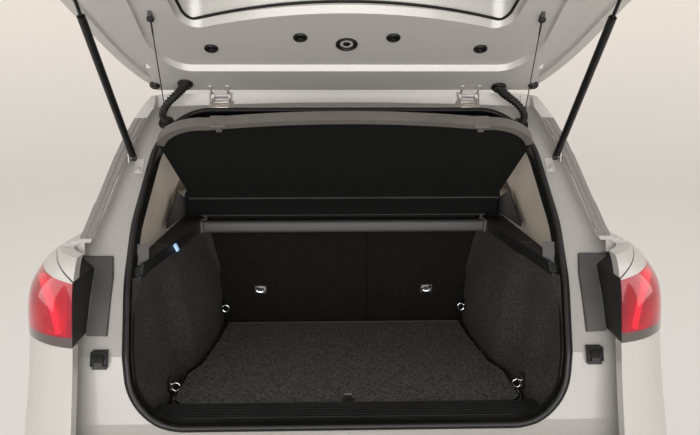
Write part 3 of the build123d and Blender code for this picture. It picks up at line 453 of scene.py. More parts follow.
def paint(name, base, flake, roughness, coat):
    """Metallic paint under clear coat: fine flakes, cloudy sheen and a faint orange peel."""
    material, tree, shader, space = new_material(name, base, roughness, 0.2, Coat_Weight=coat, Coat_Roughness=0.06)
    # flakes are a few hundredths of a millimetre, drawn coarser so that they show
    flakes = add_node(tree, "ShaderNodeTexNoise", {"Vector": space}, Scale=per_metre(1.1), Detail=2, Roughness=0.6)
    clouds = add_node(tree, "ShaderNodeTexNoise", {"Vector": space}, Scale=per_metre(333), Detail=3, Roughness=0.6)
    peel = add_node(tree, "ShaderNodeTexNoise", {"Vector": space}, Scale=per_metre(2.4), Detail=2, Roughness=0.6)
    add_node(tree, "ShaderNodeValToRGB", {"Fac": flakes}, shader.inputs["Base Color"], [(0.3, base), (0.62, flake)])
    add_node(tree, "ShaderNodeMapRange", {"Value": clouds}, shader.inputs["Roughness"],
             To_Min=roughness - 0.03, To_Max=roughness + 0.04)
    add_node(tree, "ShaderNodeBump", {"Height": peel}, shader.inputs["Normal"], Strength=0.03, Distance=0.0004)
    return material


def grained(name, base, worn, roughness, cell=2.9, depth=0.25):
    """Moulded plastic with a leather-like grain, its cells and depth in millimetres, and faint scuffs."""
    material, tree, shader, space = new_material(name, base, roughness)
    cells = add_node(tree, "ShaderNodeTexVoronoi", {"Vector": space}, feature="DISTANCE_TO_EDGE",
                     Scale=per_metre(cell))
    scuffs = add_node(tree, "ShaderNodeTexNoise", {"Vector": space}, Scale=per_metre(111), Detail=5, Roughness=0.6)
    add_node(tree, "ShaderNodeValToRGB", {"Fac": scuffs}, shader.inputs["Base Color"], [(0.35, base), (0.75, worn)])
    add_node(tree, "ShaderNodeMapRange", {"Value": scuffs}, shader.inputs["Roughness"],
             To_Min=roughness - 0.06, To_Max=roughness + 0.1)
    add_node(tree, "ShaderNodeBump", {"Height": cells.outputs["Distance"]}, shader.inputs["Normal"], Strength=0.35,
             Distance=depth / 1000)
    return material


def felt(name, dark, light, fibre, sheen, tufts=0.5, depth=1.2):
    """Needle-punched felt or knit: crossing fibres and tufts, their size and depth in millimetres."""
    material, tree, shader, space = new_material(name, dark, 0.95, Sheen_Weight=sheen, Sheen_Roughness=0.6,
                                                 Specular_IOR_Level=0.04)
    fibres = add_node(tree, "ShaderNodeTexNoise", {"Vector": space}, Scale=per_metre(fibre), Detail=6, Roughness=0.75)
    lint = add_node(tree, "ShaderNodeTexNoise", {"Vector": space}, Scale=per_metre(4 * fibre), Detail=3, Roughness=0.6)
    mixed = add_node(tree, "ShaderNodeMath", {0: fibres, 1: lint}, operation="MULTIPLY")
    add_node(tree, "ShaderNodeValToRGB", {"Fac": mixed}, shader.inputs["Base Color"], [(0.16, dark), (0.40, light)])
    height = add_node(tree, "ShaderNodeMath", {0: lint, 2: fibres}, operation="MULTIPLY_ADD")
    height.inputs[1].default_value = tufts
    add_node(tree, "ShaderNodeBump", {"Height": height}, shader.inputs["Normal"], Strength=0.7, Distance=depth / 1000)
    return material


def weave(name, dark, light, pitch, sheen):
    """Flat-woven upholstery with crossing threads at a pitch in millimetres."""
    material, tree, shader, space = new_material(name, dark, 0.85, Sheen_Weight=sheen, Sheen_Roughness=0.5,
                                                 Specular_IOR_Level=0.2)
    threads = add_node(tree, "ShaderNodeMapping", {"Vector": space}, Scale=(per_metre(pitch), 0, per_metre(pitch)))
    warp, weft = (add_node(tree, "ShaderNodeTexWave", {"Vector": threads}, bands_direction=way, Scale=0.31,
                           Distortion=1.2, Detail=2.0).outputs["Fac"] for way in "XZ")
    cross = add_node(tree, "ShaderNodeMath", {0: warp, 1: weft}, operation="MULTIPLY")
    fuzz = add_node(tree, "ShaderNodeTexNoise", {"Vector": space}, Scale=per_metre(1.25), Detail=4, Roughness=0.6)
    mixed = add_node(tree, "ShaderNodeMath", {0: cross, 1: fuzz}, operation="ADD")
    add_node(tree, "ShaderNodeValToRGB", {"Fac": mixed}, shader.inputs["Base Color"], [(0.35, dark), (1, light)])
    add_node(tree, "ShaderNodeBump", {"Height": mixed}, shader.inputs["Normal"], Strength=0.4, Distance=0.0006)
    return material


def rubber(name, base, dusty, roughness):
    """Moulded or extruded rubber: fine pores, and dust in soft patches."""
    material, tree, shader, space = new_material(name, base, roughness, Specular_IOR_Level=0.4)
    dust = add_node(tree, "ShaderNodeTexNoise", {"Vector": space}, Scale=per_metre(33.3), Detail=5, Roughness=0.6)
    pores = add_node(tree, "ShaderNodeTexNoise", {"Vector": space}, Scale=per_metre(1.4), Detail=3, Roughness=0.6)
    add_node(tree, "ShaderNodeValToRGB", {"Fac": dust}, shader.inputs["Base Color"], [(0.4, base), (0.8, dusty)])
    add_node(tree, "ShaderNodeMapRange", {"Value": dust}, shader.inputs["Roughness"],
             To_Min=roughness - 0.1, To_Max=roughness + 0.12)
    add_node(tree, "ShaderNodeBump", {"Height": pores}, shader.inputs["Normal"], Strength=0.15, Distance=0.0003)
    return material


def metal(name, base, roughness, metallic=1.0, grain=3.8):
    """Cast, ground or plated metal: its sheen changes over a grain in millimetres."""
    material, tree, shader, space = new_material(name, base, roughness, metallic)
    sheen = add_node(tree, "ShaderNodeTexNoise", {"Vector": space}, Scale=per_metre(grain), Detail=4, Roughness=0.6)
    pits = add_node(tree, "ShaderNodeTexNoise", {"Vector": space}, Scale=per_metre(grain / 2), Detail=3, Roughness=0.6)
    add_node(tree, "ShaderNodeMapRange", {"Value": sheen}, shader.inputs["Roughness"],
             To_Min=roughness * 0.8, To_Max=roughness * 1.25)
    add_node(tree, "ShaderNodeBump", {"Height": pits}, shader.inputs["Normal"], Strength=0.05, Distance=0.0003)
    return material


def clear(name, base):
    """Polished glass, tinted through, with a trace of haze."""
    material, tree, shader, space = new_material(name, base, 0.0, Transmission_Weight=1.0, IOR=1.5)
    haze = add_node(tree, "ShaderNodeTexNoise", {"Vector": space}, Scale=per_metre(167), Detail=3, Roughness=0.6)
    add_node(tree, "ShaderNodeMapRange", {"Value": haze}, shader.inputs["Roughness"], To_Max=0.03)
    return material


def lens(name, red, deep, bottom, foot):
    """Moulded acrylic lamp cover: red, deeper in slow bands, with a smoky clear strip below a height."""
    material, tree, shader, space = new_material(name, red, 0.06, Transmission_Weight=0.72, IOR=1.49, Coat_Weight=0.6,
                                                 Coat_Roughness=0.03)
    height = add_node(tree, "ShaderNodeSeparateXYZ", {"Vector": space}).outputs["Z"]
    slow = add_node(tree, "ShaderNodeTexNoise", {"Vector": space}, Scale=per_metre(143), Detail=2, Roughness=0.6)
    shade = add_node(tree, "ShaderNodeValToRGB", {"Fac": slow}, stops=[(0.35, deep), (0.6, red)])
    edge = add_node(tree, "ShaderNodeMapRange", {"Value": height}, From_Min=foot, From_Max=foot + 0.0015)
    mixed = add_node(tree, "ShaderNodeMix", {0: edge, 7: shade}, data_type="RGBA")
    mixed.inputs[6].default_value = colour(bottom)
    tree.links.new(mixed.outputs[2], shader.inputs["Base Color"])
    add_node(tree, "ShaderNodeMapRange", {"Value": slow}, shader.inputs["Roughness"], To_Min=0.04, To_Max=0.09)
    return material


def glow(name, base, strength):
    """Lit optics of a lamp: frosted plastic with a little light of its own."""
    material, tree, shader, space = new_material(name, base, 0.3, Emission_Strength=strength)
    shader.inputs["Emission Color"].default_value = colour(base)
    frost = add_node(tree, "ShaderNodeTexNoise", {"Vector": space}, Scale=per_metre(25), Detail=3, Roughness=0.6)
    add_node(tree, "ShaderNodeMapRange", {"Value": frost}, shader.inputs["Roughness"], To_Min=0.25, To_Max=0.4)
    return material


def build_materials(look):
    """Every finish of the section, by name."""
    return {
        # silver-grey metallic paint under clear coat: soft highlights, fine sparkle
        "body_paint": paint("body_paint", look.paint, look.paint_flake, 0.42, 0.3),
        # the same paint on the pillars' shut faces, drawn darker and greyer as painted shade for the shade in the
        # channel
        "shut_face_painted_shade": paint("shut_face_painted_shade", "#6C6865", "#827E7A", 0.45, 0.3),
        # the same paint inside the tailgate and on inner panels, a shade duller
        "inner_paint": paint("inner_paint", look.inner, look.inner_flake, 0.45, 0.3),
        # the same paint on the moulded parking sensors, smoother
        "sensor_paint": paint("sensor_paint", "#8E8B86", "#A5A29C", 0.4, 0.5),
        # sprayed stone-chip coating under the floor and in the wheelhouses: matt and pebbled
        "underbody": grained("underbody", "#1A1A1B", "#262524", 0.8, 4.5, 0.8),
        # electrophoretic black on pressed steel: an even satin
        "black_steel": metal("black_steel", "#131314", 0.38, 0.3),
        # zinc-plated steel hinge leaves under thin paint: pale, a little metallic
        "hinge_steel": metal("hinge_steel", "#CFC9C1", 0.3, 0.55, 5.5),
        # turned grey iron of the brake discs: mid grey with a cool sheen
        "brake_iron": metal("brake_iron", "#6E6C6A", 0.35, 1.0, 8.3),
        # aluminised steel of the exhaust: dull and blotched
        "exhaust_steel": metal("exhaust_steel", "#77736D", 0.42, 0.9, 11),
        # tempered glass: clear, and dyed for privacy; and its fired enamel border, glossy black, a black that also
        # draws the painted shadow round the load floor
        "glass": clear("glass", "#DDE6E0"),
        "dark_glass": clear("dark_glass", "#333937"),
        "enamel_and_painted_shadow": rubber("enamel_and_painted_shadow", "#050506", "#090909", 0.25),
        # extruded EPDM of the seals and boots: black with a low sheen
        "seal_rubber": rubber("seal_rubber", "#0C0C0D", "#191918", 0.42),
        # tyre compound: dusty charcoal; the sipes drawn darker and matt as painted shade inside the slits
        "tyre": rubber("tyre", "#141415", "#222120", 0.72),
        "sipe_painted_shade": rubber("sipe_painted_shade", "#060606", "#0B0B0B", 0.9),
        # lacquered cast aluminium: bright, with soft reflections
        "alloy": metal("alloy", "#A9AAAD", 0.3, 0.85, 2.5),
        # grained polypropylene, matt: black trim, charcoal covers, the shelf's rim, grey plates, pillar linings
        "black_plastic": grained("black_plastic", "#121213", "#1B1B1C", 0.6),
        "grey_plastic": grained("grey_plastic", "#3E3C3B", "#474543", 0.5),
        "cap_plastic": grained("cap_plastic", "#5C5854", "#66625D", 0.55, 2),
        "plate_plastic": grained("plate_plastic", "#6F6D6D", "#787675", 0.55, 2),
        "beige_plastic": grained("beige_plastic", "#D3C9BA", "#DBD1C3", 0.6, 2.4),
        # needle-punched polyester felts, drawn coarser than their fibres: boards, linings, floor mat, shelf
        "carpet": felt("carpet", "#0B0B0B", "#262423", 1.3, 0.03),
        "lining_felt": felt("lining_felt", "#1A1A19", "#565350", 1.3, 0.04),
        "floor_felt": felt("floor_felt", "#201F1E", "#757170", 1.8, 0.05, 0.7),
        "shelf_felt": felt("shelf_felt", "#050505", "#111111", 1.1, 0.03, 0.3, 0.6),
        # woven polyester tape and webbing: close ribs, a faint bloom
        "binding": felt("binding", "#0A0A0B", "#222223", 0.55, 0.25, 0.2, 0.4),
        "webbing": felt("webbing", "#0D0D0E", "#262627", 0.45, 0.3, 0.2, 0.4),
        # flat-woven seat cloth: crossing threads that catch the light
        "seat_fabric": weave("seat_fabric", "#0E0E10", "#2A2A2E", 2.2, 0.25),
        # expanded polypropylene of the tool tray: matt beads
        "foam": grained("foam", "#161616", "#202020", 0.9, 8, 1),
        # moulded acrylic lamp covers: glossy, lit from within
        "red_lens": lens("red_lens", "#EE1C46", "#C80C34", "#8E827F", LENS_FOOT),
        # lit optics: red reflector, warm light guide, cool lamp glass
        "lamp_reflector": glow("lamp_reflector", "#BE1034", 0.12),
        "light_guide": glow("light_guide", "#FFDCC8", 1.8),
        "lamp_glass": glow("lamp_glass", "#A9CBF2", 0.6),
        # bright chromium on the rings, posts and nuts: sharp reflections
        "chrome": metal("chrome", "#DADBDD", 0.12, 1.0, 3.3),
        # braided polyester cord: matt black
        "cord": felt("cord", "#060606", "#181818", 0.33, 0.2, 0.2, 0.3),
        # knitted roof lining: pale and soft
        "headliner_cloth": felt("headliner_cloth", "#A59D91", "#BDB5A8", 0.62, 0.4, 0.2, 0.4),
    }


def set_material(obj, material):
    """Puts one material on every slot of an object."""
    if not obj.material_slots:
        obj.data.materials.append(material)
    for slot in obj.material_slots:
        slot.material = material


def dress_nodes(materials):
    """Each carried-over node gets the finish that the record names for it."""
    slots = {part["node"]: part["material_slot"] for part in frame["record"]["subparts"]}
    for name, obj in frame["nodes"].items():
        set_material(obj, materials["floor_felt" if name == "load_floor" else slots[name]])


def gate_way(direction):
    """A direction drawn on the shut tailgate, at its open rest pose."""
    return Matrix.Rotation(math.radians(-GATE_OPEN), 3, "X") @ Vector(direction)


def gate_spot(x, h, depth):
    """Matrix with its Z out of the tailgate's inner face, at a depth behind the channel."""
    return axes(gate_point(x, channel_y(h) - depth, h), gate_way(-channel_normal(h)), gate_way((1, 0, 0)))


def channel_spot(x, h, lift=0):
    """Matrix with its Z out of the painted channel."""
    return axes(place(x, channel_y(h), h) + channel_normal(h) * lift / 1000, channel_normal(h), (1, 0, 0))


# Lifting cords and wiring boots
CORD_HOOK = (526, -915, 1291)
CORD_EYE = (542, -897, 1191)
BOOT_ROUTES = {
    # from the channel, in a loose bow, to the tailgate's upper edge at its open pose
    "left": [(-568, -697, 1522), (-572, -718, 1536), (-571, -736, 1556), (-552, -742, 1586), (-524, -736, 1612),
             (-506, -724, 1632), (-500, -713, 1646)],
    "right": [(562, -702, 1516), (566, -723, 1530), (564, -740, 1552), (541, -742, 1582), (512, -730, 1604),
              (494, -708, 1622), (488, -696, 1636)],
}
BOOT_RADII = (0.0155, 0.0122)
BOOT_TAPER = 0.72
BOOT_FOLD = 0.0074


def build_cords(sizes):
    """Cords from the shelf's pegs to the tailgate, each with its knob and sleeve."""
    for name, side in SIDES:
        hook = gate_point(side * CORD_HOOK[0], *CORD_HOOK[1:])
        eye = shelf_point(side * CORD_EYE[0], *CORD_EYE[1:])
        line = smooth_path([hook, hook.lerp(eye, 0.3), hook.lerp(eye, 0.7), eye], 0.012)
        cord = Build().add(*tube(line, sizes.cord / 2, 8))
        knob = Build().add(*lathe([(0.0, -0.016), (0.004, -0.016), (0.004, -0.006), (0.0085, -0.004), (0.0105, 0.001),
                                   (0.0095, 0.006), (0.006, 0.009), (0.0, 0.0098)], 24),
                           axes(hook, gate_way(-channel_normal(CORD_HOOK[2]))))
        knob.add(*tube([hook.lerp(eye, 0.02), hook.lerp(eye, 0.1), hook.lerp(eye, 0.13)], [0.0026, 0.0026, 0.0018], 10))
        cord_piece = cord.object("shelf_cord_" + name, "cord", "tailgate", ["shelf_cords"])
        knob_piece = knob.object("cord_knob_" + name, "black_plastic", "tailgate")
        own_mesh(cord_piece)


def build_boots():
    """Corrugated wiring boots between the channel and the tailgate."""
    for name, side in SIDES:
        line = smooth_path([place(*p) for p in BOOT_ROUTES[name]], BOOT_FOLD / 4)
        radii = [BOOT_RADII[i // 2 % 2] * (BOOT_TAPER + (1 - BOOT_TAPER) * i / len(line)) for i in range(len(line))]
        boot = Build().add(*tube(line, radii, 16)).object("wiring_boot_" + name, "seal_rubber", None)
        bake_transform(boot)
        flange = [(0, 0), (0.024, 0), (0.0245, 0.004), (0.021, 0.008), (0.017, 0.010), (0.0158, 0.015), (0, 0.015)]
        x, y, h = BOOT_ROUTES[name][0]
        foot = Build().add(*lathe(flange, 24), channel_spot(x, h))
        foot_piece = foot.object("boot_grommet_body_" + name, "seal_rubber", "body")
        x, y, h = BOOT_ROUTES[name][-1]
        head = Build().add(*lathe(flange, 24), axes(place(x, y, h), gate_way(-channel_normal(1560))))
        head_piece = head.object("boot_grommet_gate_" + name, "seal_rubber", "tailgate")


# Seals
SEAL_PROFILE = [(12.5, 0), (14, 3), (13, 7), (10, 9), (9.5, 13), (6, 16.5), (1, 18), (-4, 17), (-7.5, 13.5), (-8, 9),
                (-6, 4), (-5.5, -8), (-8, -18), (-11, -25), (-9, -27.5), (-4.5, -25), (-0.6, -14), (-0.6, -0.5), (0, 0)]
SEAL_SEAT = 0.3


def channel_ring(corners, gap, grow=0.0):
    """Points, outward axes and rearward axes along an outline laid on the channel."""
    line = dense(rounded_outline(corners), gap)
    path, outs, ups = [], [], []
    for i, point in enumerate(line):
        run = (line[(i + 1) % len(line)] - line[i - 1]).normalized()
        out = Vector((-run.y, run.x))
        if out.dot(point - Vector((0, 1100))) < 0:
            out = -out
        low, high = point + out * (grow - 2), point + out * (grow + 2)
        a, b = place(low.x, channel_y(low.y), low.y), place(high.x, channel_y(high.y), high.y)
        middle = point + out * grow
        path.append(place(middle.x, channel_y(middle.y), middle.y))
        outs.append((b - a).normalized())
        ups.append(channel_normal(middle.y))
    return path, outs, ups


def build_seals():
    """Boot seal with its bulb and trim lip."""
    path, outs, ups = channel_ring(OPENING_CORNERS, 14)
    path = [p + up * SEAL_SEAT / 1000 for p, up in zip(path, ups)]
    profile = [(u / 1000, v / 1000) for u, v in SEAL_PROFILE]
    Build().add(*sweep(path, outs, ups, profile)).object("boot_seal", "seal_rubber", "body", ["weatherstrip"], sharp=60)


def window_line(shrink, gap=18):
    """The tailgate window's outline with its dipped upper edge, as (x, h) points."""
    (x0, z0, r0), (x1, z1, r1) = WINDOW_CORNERS
    line = rounded_outline([(x0 - shrink, z0 + shrink, r0 - shrink), (x1 - shrink, z1 - shrink, r1 - shrink)], 12)
    line = dense(line, gap)
    dip = z1 - WINDOW_DIP
    out = []
    for point in line:
        if point.y > z1 - r1 - 2:
            share = max(0.0, 1 - (abs(point.x) / (x1 - r1 * 0.35)) ** 2)
            point = Vector((point.x, point.y - dip * share * min(1, (point.y - z1 + r1) / r1)))
        out.append(point)
    return out


def on_gate(node, x, h, outside=False):
    """Point on a tailgate node's inner or outer face at rest, and the normal there."""
    start, ahead = (-2000, 1) if outside else (-700, -1)
    a, b = gate_point(x, start, h), gate_point(x, start + ahead * 100, h)
    return on_node(node, a, (b - a).normalized())


REVEAL_DEPTH = 64               # window flange behind the channel


def build_glazing():
    """Enamel border of the tailgate window, and the painted flange and gasket round it inside."""
    inner, outer = window_line(9), glass_edge(5)
    rows = []
    for point in inner:
        far = nearest_on(outer, point)
        row = []
        for share in (0.0, 0.5, 1.0):
            x, h = point.lerp(far, share)
            spot, normal = on_gate("tailgate_glass", x, h, True)
            row.append(spot + normal * 0.0004)
        rows.append(row)
    verts, faces = grid(rows + [rows[0]])
    Build().add(verts, faces).object("glass_border", "enamel_and_painted_shadow", "tailgate", thick=-0.0003)
    path = [gate_point(p.x, channel_y(p.y) - REVEAL_DEPTH, p.y) for p in window_line(0, 14)]
    outs, ups = ring_axes(path, [gate_way(-channel_normal(p.y)) for p in window_line(0, 14)])
    flange = [(0.004, 0.0), (-0.010, 0.0), (-0.010, -0.0014), (0.004, -0.0014)]
    Build().add(*sweep(path, outs, ups, flange)).object("window_flange", "body_paint", "tailgate")
    bead = [(-0.0135 + 0.0045 * math.cos(a), -0.0005 + 0.0036 * math.sin(a))
            for a in [math.pi * k / 5 for k in range(10)]]
    Build().add(*sweep(path, outs, ups, bead)).object("window_gasket", "seal_rubber", "tailgate")


def glass_edge(inset):
    """The tailgate glass's outline, drawn in by an inset."""
    return dense(rounded_outline([(588 - inset, 1104 + inset, 90), (528 - inset, 1496 - inset, 90)], 12), 18)


def nearest_on(line, point):
    """The point of a line that lies furthest along the same ray from the middle of the window."""
    middle = Vector((0, 1270))
    way = (point - middle).normalized()
    return max(line, key=lambda q: (q - middle).normalized().dot(way))


def ring_axes(path, normals):
    """Outward axes in the surface and its normals, for a closed line."""
    outs, ups = [], []
    middle = sum(path, Vector()) / len(path)
    for i, point in enumerate(path):
        run = (path[(i + 1) % len(path)] - path[i - 1]).normalized()
        out = run.cross(normals[i]).normalized()
        outs.append(out if out.dot(point - middle) > 0 else -out)
        ups.append(normals[i])
    return outs, ups


# Parcel shelf
SHELF_REAR = [(-570, -917), (-520, -984), (-410, -1016), (0, -1048), (410, -1016), (520, -984), (570, -917)]
SHELF_MIDDLE = 1165
SHELF_CAP = [(-2, -12.5), (-2, 18), (0, 19.5), (4, 19.5), (24, 18.5), (24, 16.4), (0.3, 16.4), (0.3, -10.4), (20, -10.4),
             (20, -12.5)]


def arc_points(a, middle, b, count):
    """Points on the circle through three points, seen from above."""
    (ax, ay), (mx, my), (bx, by) = a, middle, b
    d = 2 * (ax * (my - by) + mx * (by - ay) + bx * (ay - my))
    ux = ((ax**2 + ay**2) * (my - by) + (mx**2 + my**2) * (by - ay) + (bx**2 + by**2) * (ay - my)) / d
    uy = ((ax**2 + ay**2) * (bx - mx) + (mx**2 + my**2) * (ax - bx) + (bx**2 + by**2) * (mx - ax)) / d
    start, end = math.atan2(ay - uy, ax - ux), math.atan2(by - uy, bx - ux)
    radius = math.hypot(ax - ux, ay - uy)
    if end < start:
        end += 2 * math.pi
    return [Vector((ux + radius * math.cos(start + (end - start) * k / count),
                    uy + radius * math.sin(start + (end - start) * k / count))) for k in range(count + 1)]


def shelf_edge():
    """The shelf's arched rear edge, from left to right."""
    p = SHELF_REAR
    return (arc_points(p[0], p[1], p[2], 10) + arc_points(p[2], p[3], p[4], 36)[1:]
            + arc_points(p[4], p[5], p[6], 10)[1:])


def shelf_way(direction):
    """A direction drawn on the lowered parcel shelf, at its raised rest pose."""
    return Matrix.Rotation(math.radians(-SHELF_OPEN), 3, "X") @ Vector(direction)


def build_shelf():
    """Cap along the shelf's rim, its two clips and the fold lines."""
    edge = shelf_edge()
    path, outs, ups = [], [], []
    for i, point in enumerate(edge):
        run = edge[min(i + 1, len(edge) - 1)] - edge[max(i - 1, 0)]
        inward = Vector((-run.y, run.x)).normalized()
        path.append(shelf_point(point.x, point.y, SHELF_MIDDLE))
        outs.append(shelf_way((inward.x, inward.y, 0)))
        ups.append(shelf_way((0, 0, 1)))
    cap = Build().add(*sweep(path, outs, ups, [(u / 1000, v / 1000) for u, v in SHELF_CAP], closed=False))
    cap.object("shelf_rim_cap", "cap_plastic", "parcel_shelf")
    clips = Build()
    for x in (-374, 396):
        y = min(edge, key=lambda q: abs(q.x - x)).y
        turned = axes(shelf_point(x, y - 1.5, SHELF_MIDDLE - 1), shelf_way((0, -1, 0)), shelf_way((1, 0, 0)))
        clips.add(*block((0.040, 0.046, 0.007)), turned)
        clips.add(*block((0.040, 0.018, 0.003)),
                  axes(shelf_point(x, y + 12, SHELF_MIDDLE - 13.5), shelf_way((0, 0, -1)), shelf_way((1, 0, 0))))
    clips.object("shelf_clips", "cap_plastic", "parcel_shelf", bevel=0.0012)
    welt = Build()
    for y, half, wide in ((-561, 541, 7), (-428, 521, 5)):
        line = [shelf_point(x, y, SHELF_MIDDLE - 6) for x in (-half, -half / 3, half / 3, half)]
        profile = [(-wide / 1000, 0.001), (-wide / 2000, -0.0011), (wide / 2000, -0.0011), (wide / 1000, 0.001)]
        out, up = [shelf_way((0, 1, 0))] * 4, [shelf_way((0, 0, 1))] * 4
        welt.add(*sweep(line, out, up, profile, closed=False))
    welt.object("shelf_fold_lines", "binding", "parcel_shelf")


def build_shelf_beam():
    """Rounded beam that carries the shelf's hinge, with its end caps and pivots."""
    low, high, rear, front, r = 1106, 1150, -439, -393, 11
    profile = []
    for cy, cz, start in ((front - r, high - r, 0), (rear + r, high - r, 90), (rear + r, low + r, 180),
                          (front - r, low + r, 270)):
        for k in range(5):
            angle = math.radians(start + 22.5 * k)
            profile.append(((cy + r * math.cos(angle)) / 1000, (cz + r * math.sin(angle)) / 1000))
    half = 515
    line = [place(x, 0, 0) for x in (-half, half)]
    beam = Build().add(*sweep(line, [Vector((0, 1, 0))] * 2, [Vector((0, 0, 1))] * 2, profile, closed=False))
    for side in (-1, 1):
        cap = axes(place(side * (half + 4), (rear + front) / 2, (low + high) / 2), (side, 0, 0), (0, 0, 1))
        beam.add(*block((0.054, 0.050, 0.022), 0.3), cap)
        beam.add(*lathe([(0, -0.02), (0.0032, -0.02), (0.0032, 0.03), (0, 0.03)], 16),
                 axes(place(side * 488, *SHELF_HINGE), (side, 0, 0)))
        beam.add(*block((0.005, 0.018, 0.026), 0.25), Matrix.Translation(place(side * 508, SHELF_HINGE[0], 1158)))
    beam.object("shelf_beam", "grey_plastic", "body", ["shelf_bar"], bevel=0.001)
    rows = [[place(-506 + 1012 * k / 40, -388 + 1.2 * math.sin(0.55 * k), h) for k in range(41)]
            for h in (1118, 1136, 1158, 1186)]
    Build().add(*grid(rows)).object("shelf_front_flap", "shelf_felt", "body", thick=0.0016)


# Luggage compartment
def smooth_row(rows, t):
    """Catmull-Rom value of a table of rows at a place counted in rows."""
    i = min(int(t), len(rows) - 2)
    f = t - i
    p = [rows[max(0, min(len(rows) - 1, k))] for k in (i - 1, i, i + 1, i + 2)]
    return [0.5 * (2 * b + (c - a) * f + (2 * a - 5 * b + 4 * c - d) * f * f + (3 * b - a - 3 * c + d) * f**3)
            for a, b, c, d in zip(*p)]


def trim_half(y, h):
    """Half width of the side lining's inner face, smoothed over the table."""
    ys = [row[0] for row in TRIM_ROWS]
    i = max(k for k in range(len(ys) - 1) if y <= ys[k] or k == 0)
    t = i + (ys[i] - y) / (ys[i] - ys[i + 1])
    halves = smooth_row([row[1:] for row in TRIM_ROWS], max(0.0, min(len(ys) - 1.0, t)))
    heights = TRIM_HEIGHTS
    j = max(k for k in range(len(heights) - 1) if h >= heights[k] or k == 0)
    s = j + (h - heights[j]) / (heights[j + 1] - heights[j])
    return smooth_row([[v] for v in halves], max(0.0, min(len(heights) - 1.0, s)))[0]


def build_side_linings():
    """Moulded felt linings over the wheelhouses, with the fold along their upper edge."""
    rows = []
    hs = [556 + (1106 - 556) * k / 36 for k in range(37)]
    for k in range(57):
        t, felt_thick = k / 56, 0.6 if k in (0, 56) else 4.5
        ring = []
        for h in hs:
            y = -186 + (max(channel_y(h) + 6, -1148) + 186) * t
            half = trim_half(y, h) + 1.5 - wheelhouse_swell(y, h)
            reach = 585 + (max(h, 730) - 730) * 0.089 - 8 if h > 740 else half
            ring.append((half + ease(t, 0.965, 1.0) * max(0, reach - half), y, h))
        ring += [(x + felt_thick, y, h) for x, y, h in reversed(ring)] + ring[:1]
        rows.append([place(*p) for p in ring])
    lining = Build().add(*grid(rows))
    lining.mirrored()
    lining.object("side_linings", "lining_felt", "body", ["side_trims"])
    bead = Build()
    line = [place(trim_half(y, 1104) + 1, y, 1106) for y in range(-1018, -180, 32)]
    bead.add(*tube(line, 0.0045, 8)).mirrored()
    bead.object("lining_beads", "black_plastic", "body")


def ease(value, start, end):
    """Smooth step from 0 at the start to 1 at the end."""
    t = max(0.0, min(1.0, (value - start) / (end - start)))
    return t * t * (3 - 2 * t)


def wheelhouse_swell(y, h):
    """Moulded pad over the rear of the wheelhouse."""
    return 22 * ease(y, -965, -885) * ease(y, -720, -800) * ease(h, 780, 850) * ease(h, 1020, 960)


def build_luggage_fittings():
    """Black strip round the load floor's edge, painted shadow of the gap there; its hinge tape and its pull tab."""
    y0, y1 = -318, -1036
    outline = [Vector(p) for p in ((462, y0), (470, -500), (492, -720), (524, -800), (528, y1 + 60))]
    outline += [Vector((528 - 60 + 60 * math.cos(a), y1 + 60 - 60 * math.sin(a)))
                for a in [math.radians(15 * k) for k in range(1, 7)]]
    outline = outline + [Vector((-p.x, p.y)) for p in reversed(outline)]
    line = dense(outline, 30, closed=False)
    path = [place(p.x * 0.987, p.y + (3 if p.y < -1000 else 0), 719.4) for p in line]
    # glossy black tube along the floor's edge: painted shadow in the gap round the floor
    Build().add(*tube(path, 0.0042, 6)).object("floor_edge_seal", "enamel_and_painted_shadow", "load_floor")
    tape = Build().add(*block((0.924, 0.016, 0.0024), 0.3), Matrix.Translation(place(0, y0 - 9, 720.6)))
    tape.object("floor_hinge_tape", "binding", "load_floor")
    tab, clip = Build(), Build()
    route = smooth_path([place(0, -1000, 721.5), place(0, -1014, 731), place(0, -1024, 746), place(0, -1027, 730),
                         place(0, -1029, 720)], 0.004)
    profile = [(-0.0115, -0.0013), (0.0115, -0.0013), (0.0115, 0.0013), (-0.0115, 0.0013)]
    ups = [Vector((0, -(b - a).z, (b - a).y)).normalized() for a, b in zip(route, route[1:])]
    tab.add(*sweep(route, [Vector((1, 0, 0))] * len(route), ups + ups[-1:], profile, closed=False))
    tab.object("floor_pull_tab", "webbing", "load_floor")
    clip.add(*tube([place(-11.5, -1024, 747.2), place(11.5, -1024, 747.2)], 0.0026, 8))
    clip.object("pull_tab_clip", "cap_plastic", "load_floor")


FOOT_PLATE = [(590, -905, 1178), (610, -952, 1188), (613, -958, 1184), (613, -1003, 1108), (611, -1005, 1104),
              (594, -975, 1098), (586, -935, 1122)]
WINDOW_TRIM_OUTLINE = [(-437, 1263), (-548, 1203), (-615, 1178), (-612, 1162), (-408, 1156), (-224, 1153),
                       (-216, 1160), (-322, 1222)]


def flat_panel(outline, x, thick, shrink):
    """Panel with softened edges, flat across the car."""
    build = Build()
    middle = sum((Vector(p) for p in outline), Vector((0, 0))) / len(outline)
    for offset, inset in ((thick, 0), (1.2, 0), (0, shrink)):
        for p in outline:
            way = (middle - Vector(p)).normalized() * inset
            build.verts.append(place(x + offset, p[0] + way.x, p[1] + way.y))
    n = len(outline)
    build.faces += [[r * n + i, r * n + (i + 1) % n, (r + 1) * n + (i + 1) % n, (r + 1) * n + i]
                    for r in range(2) for i in range(n)]
    build.faces += [list(range(n)), list(range(2 * n, 3 * n))]
    return build


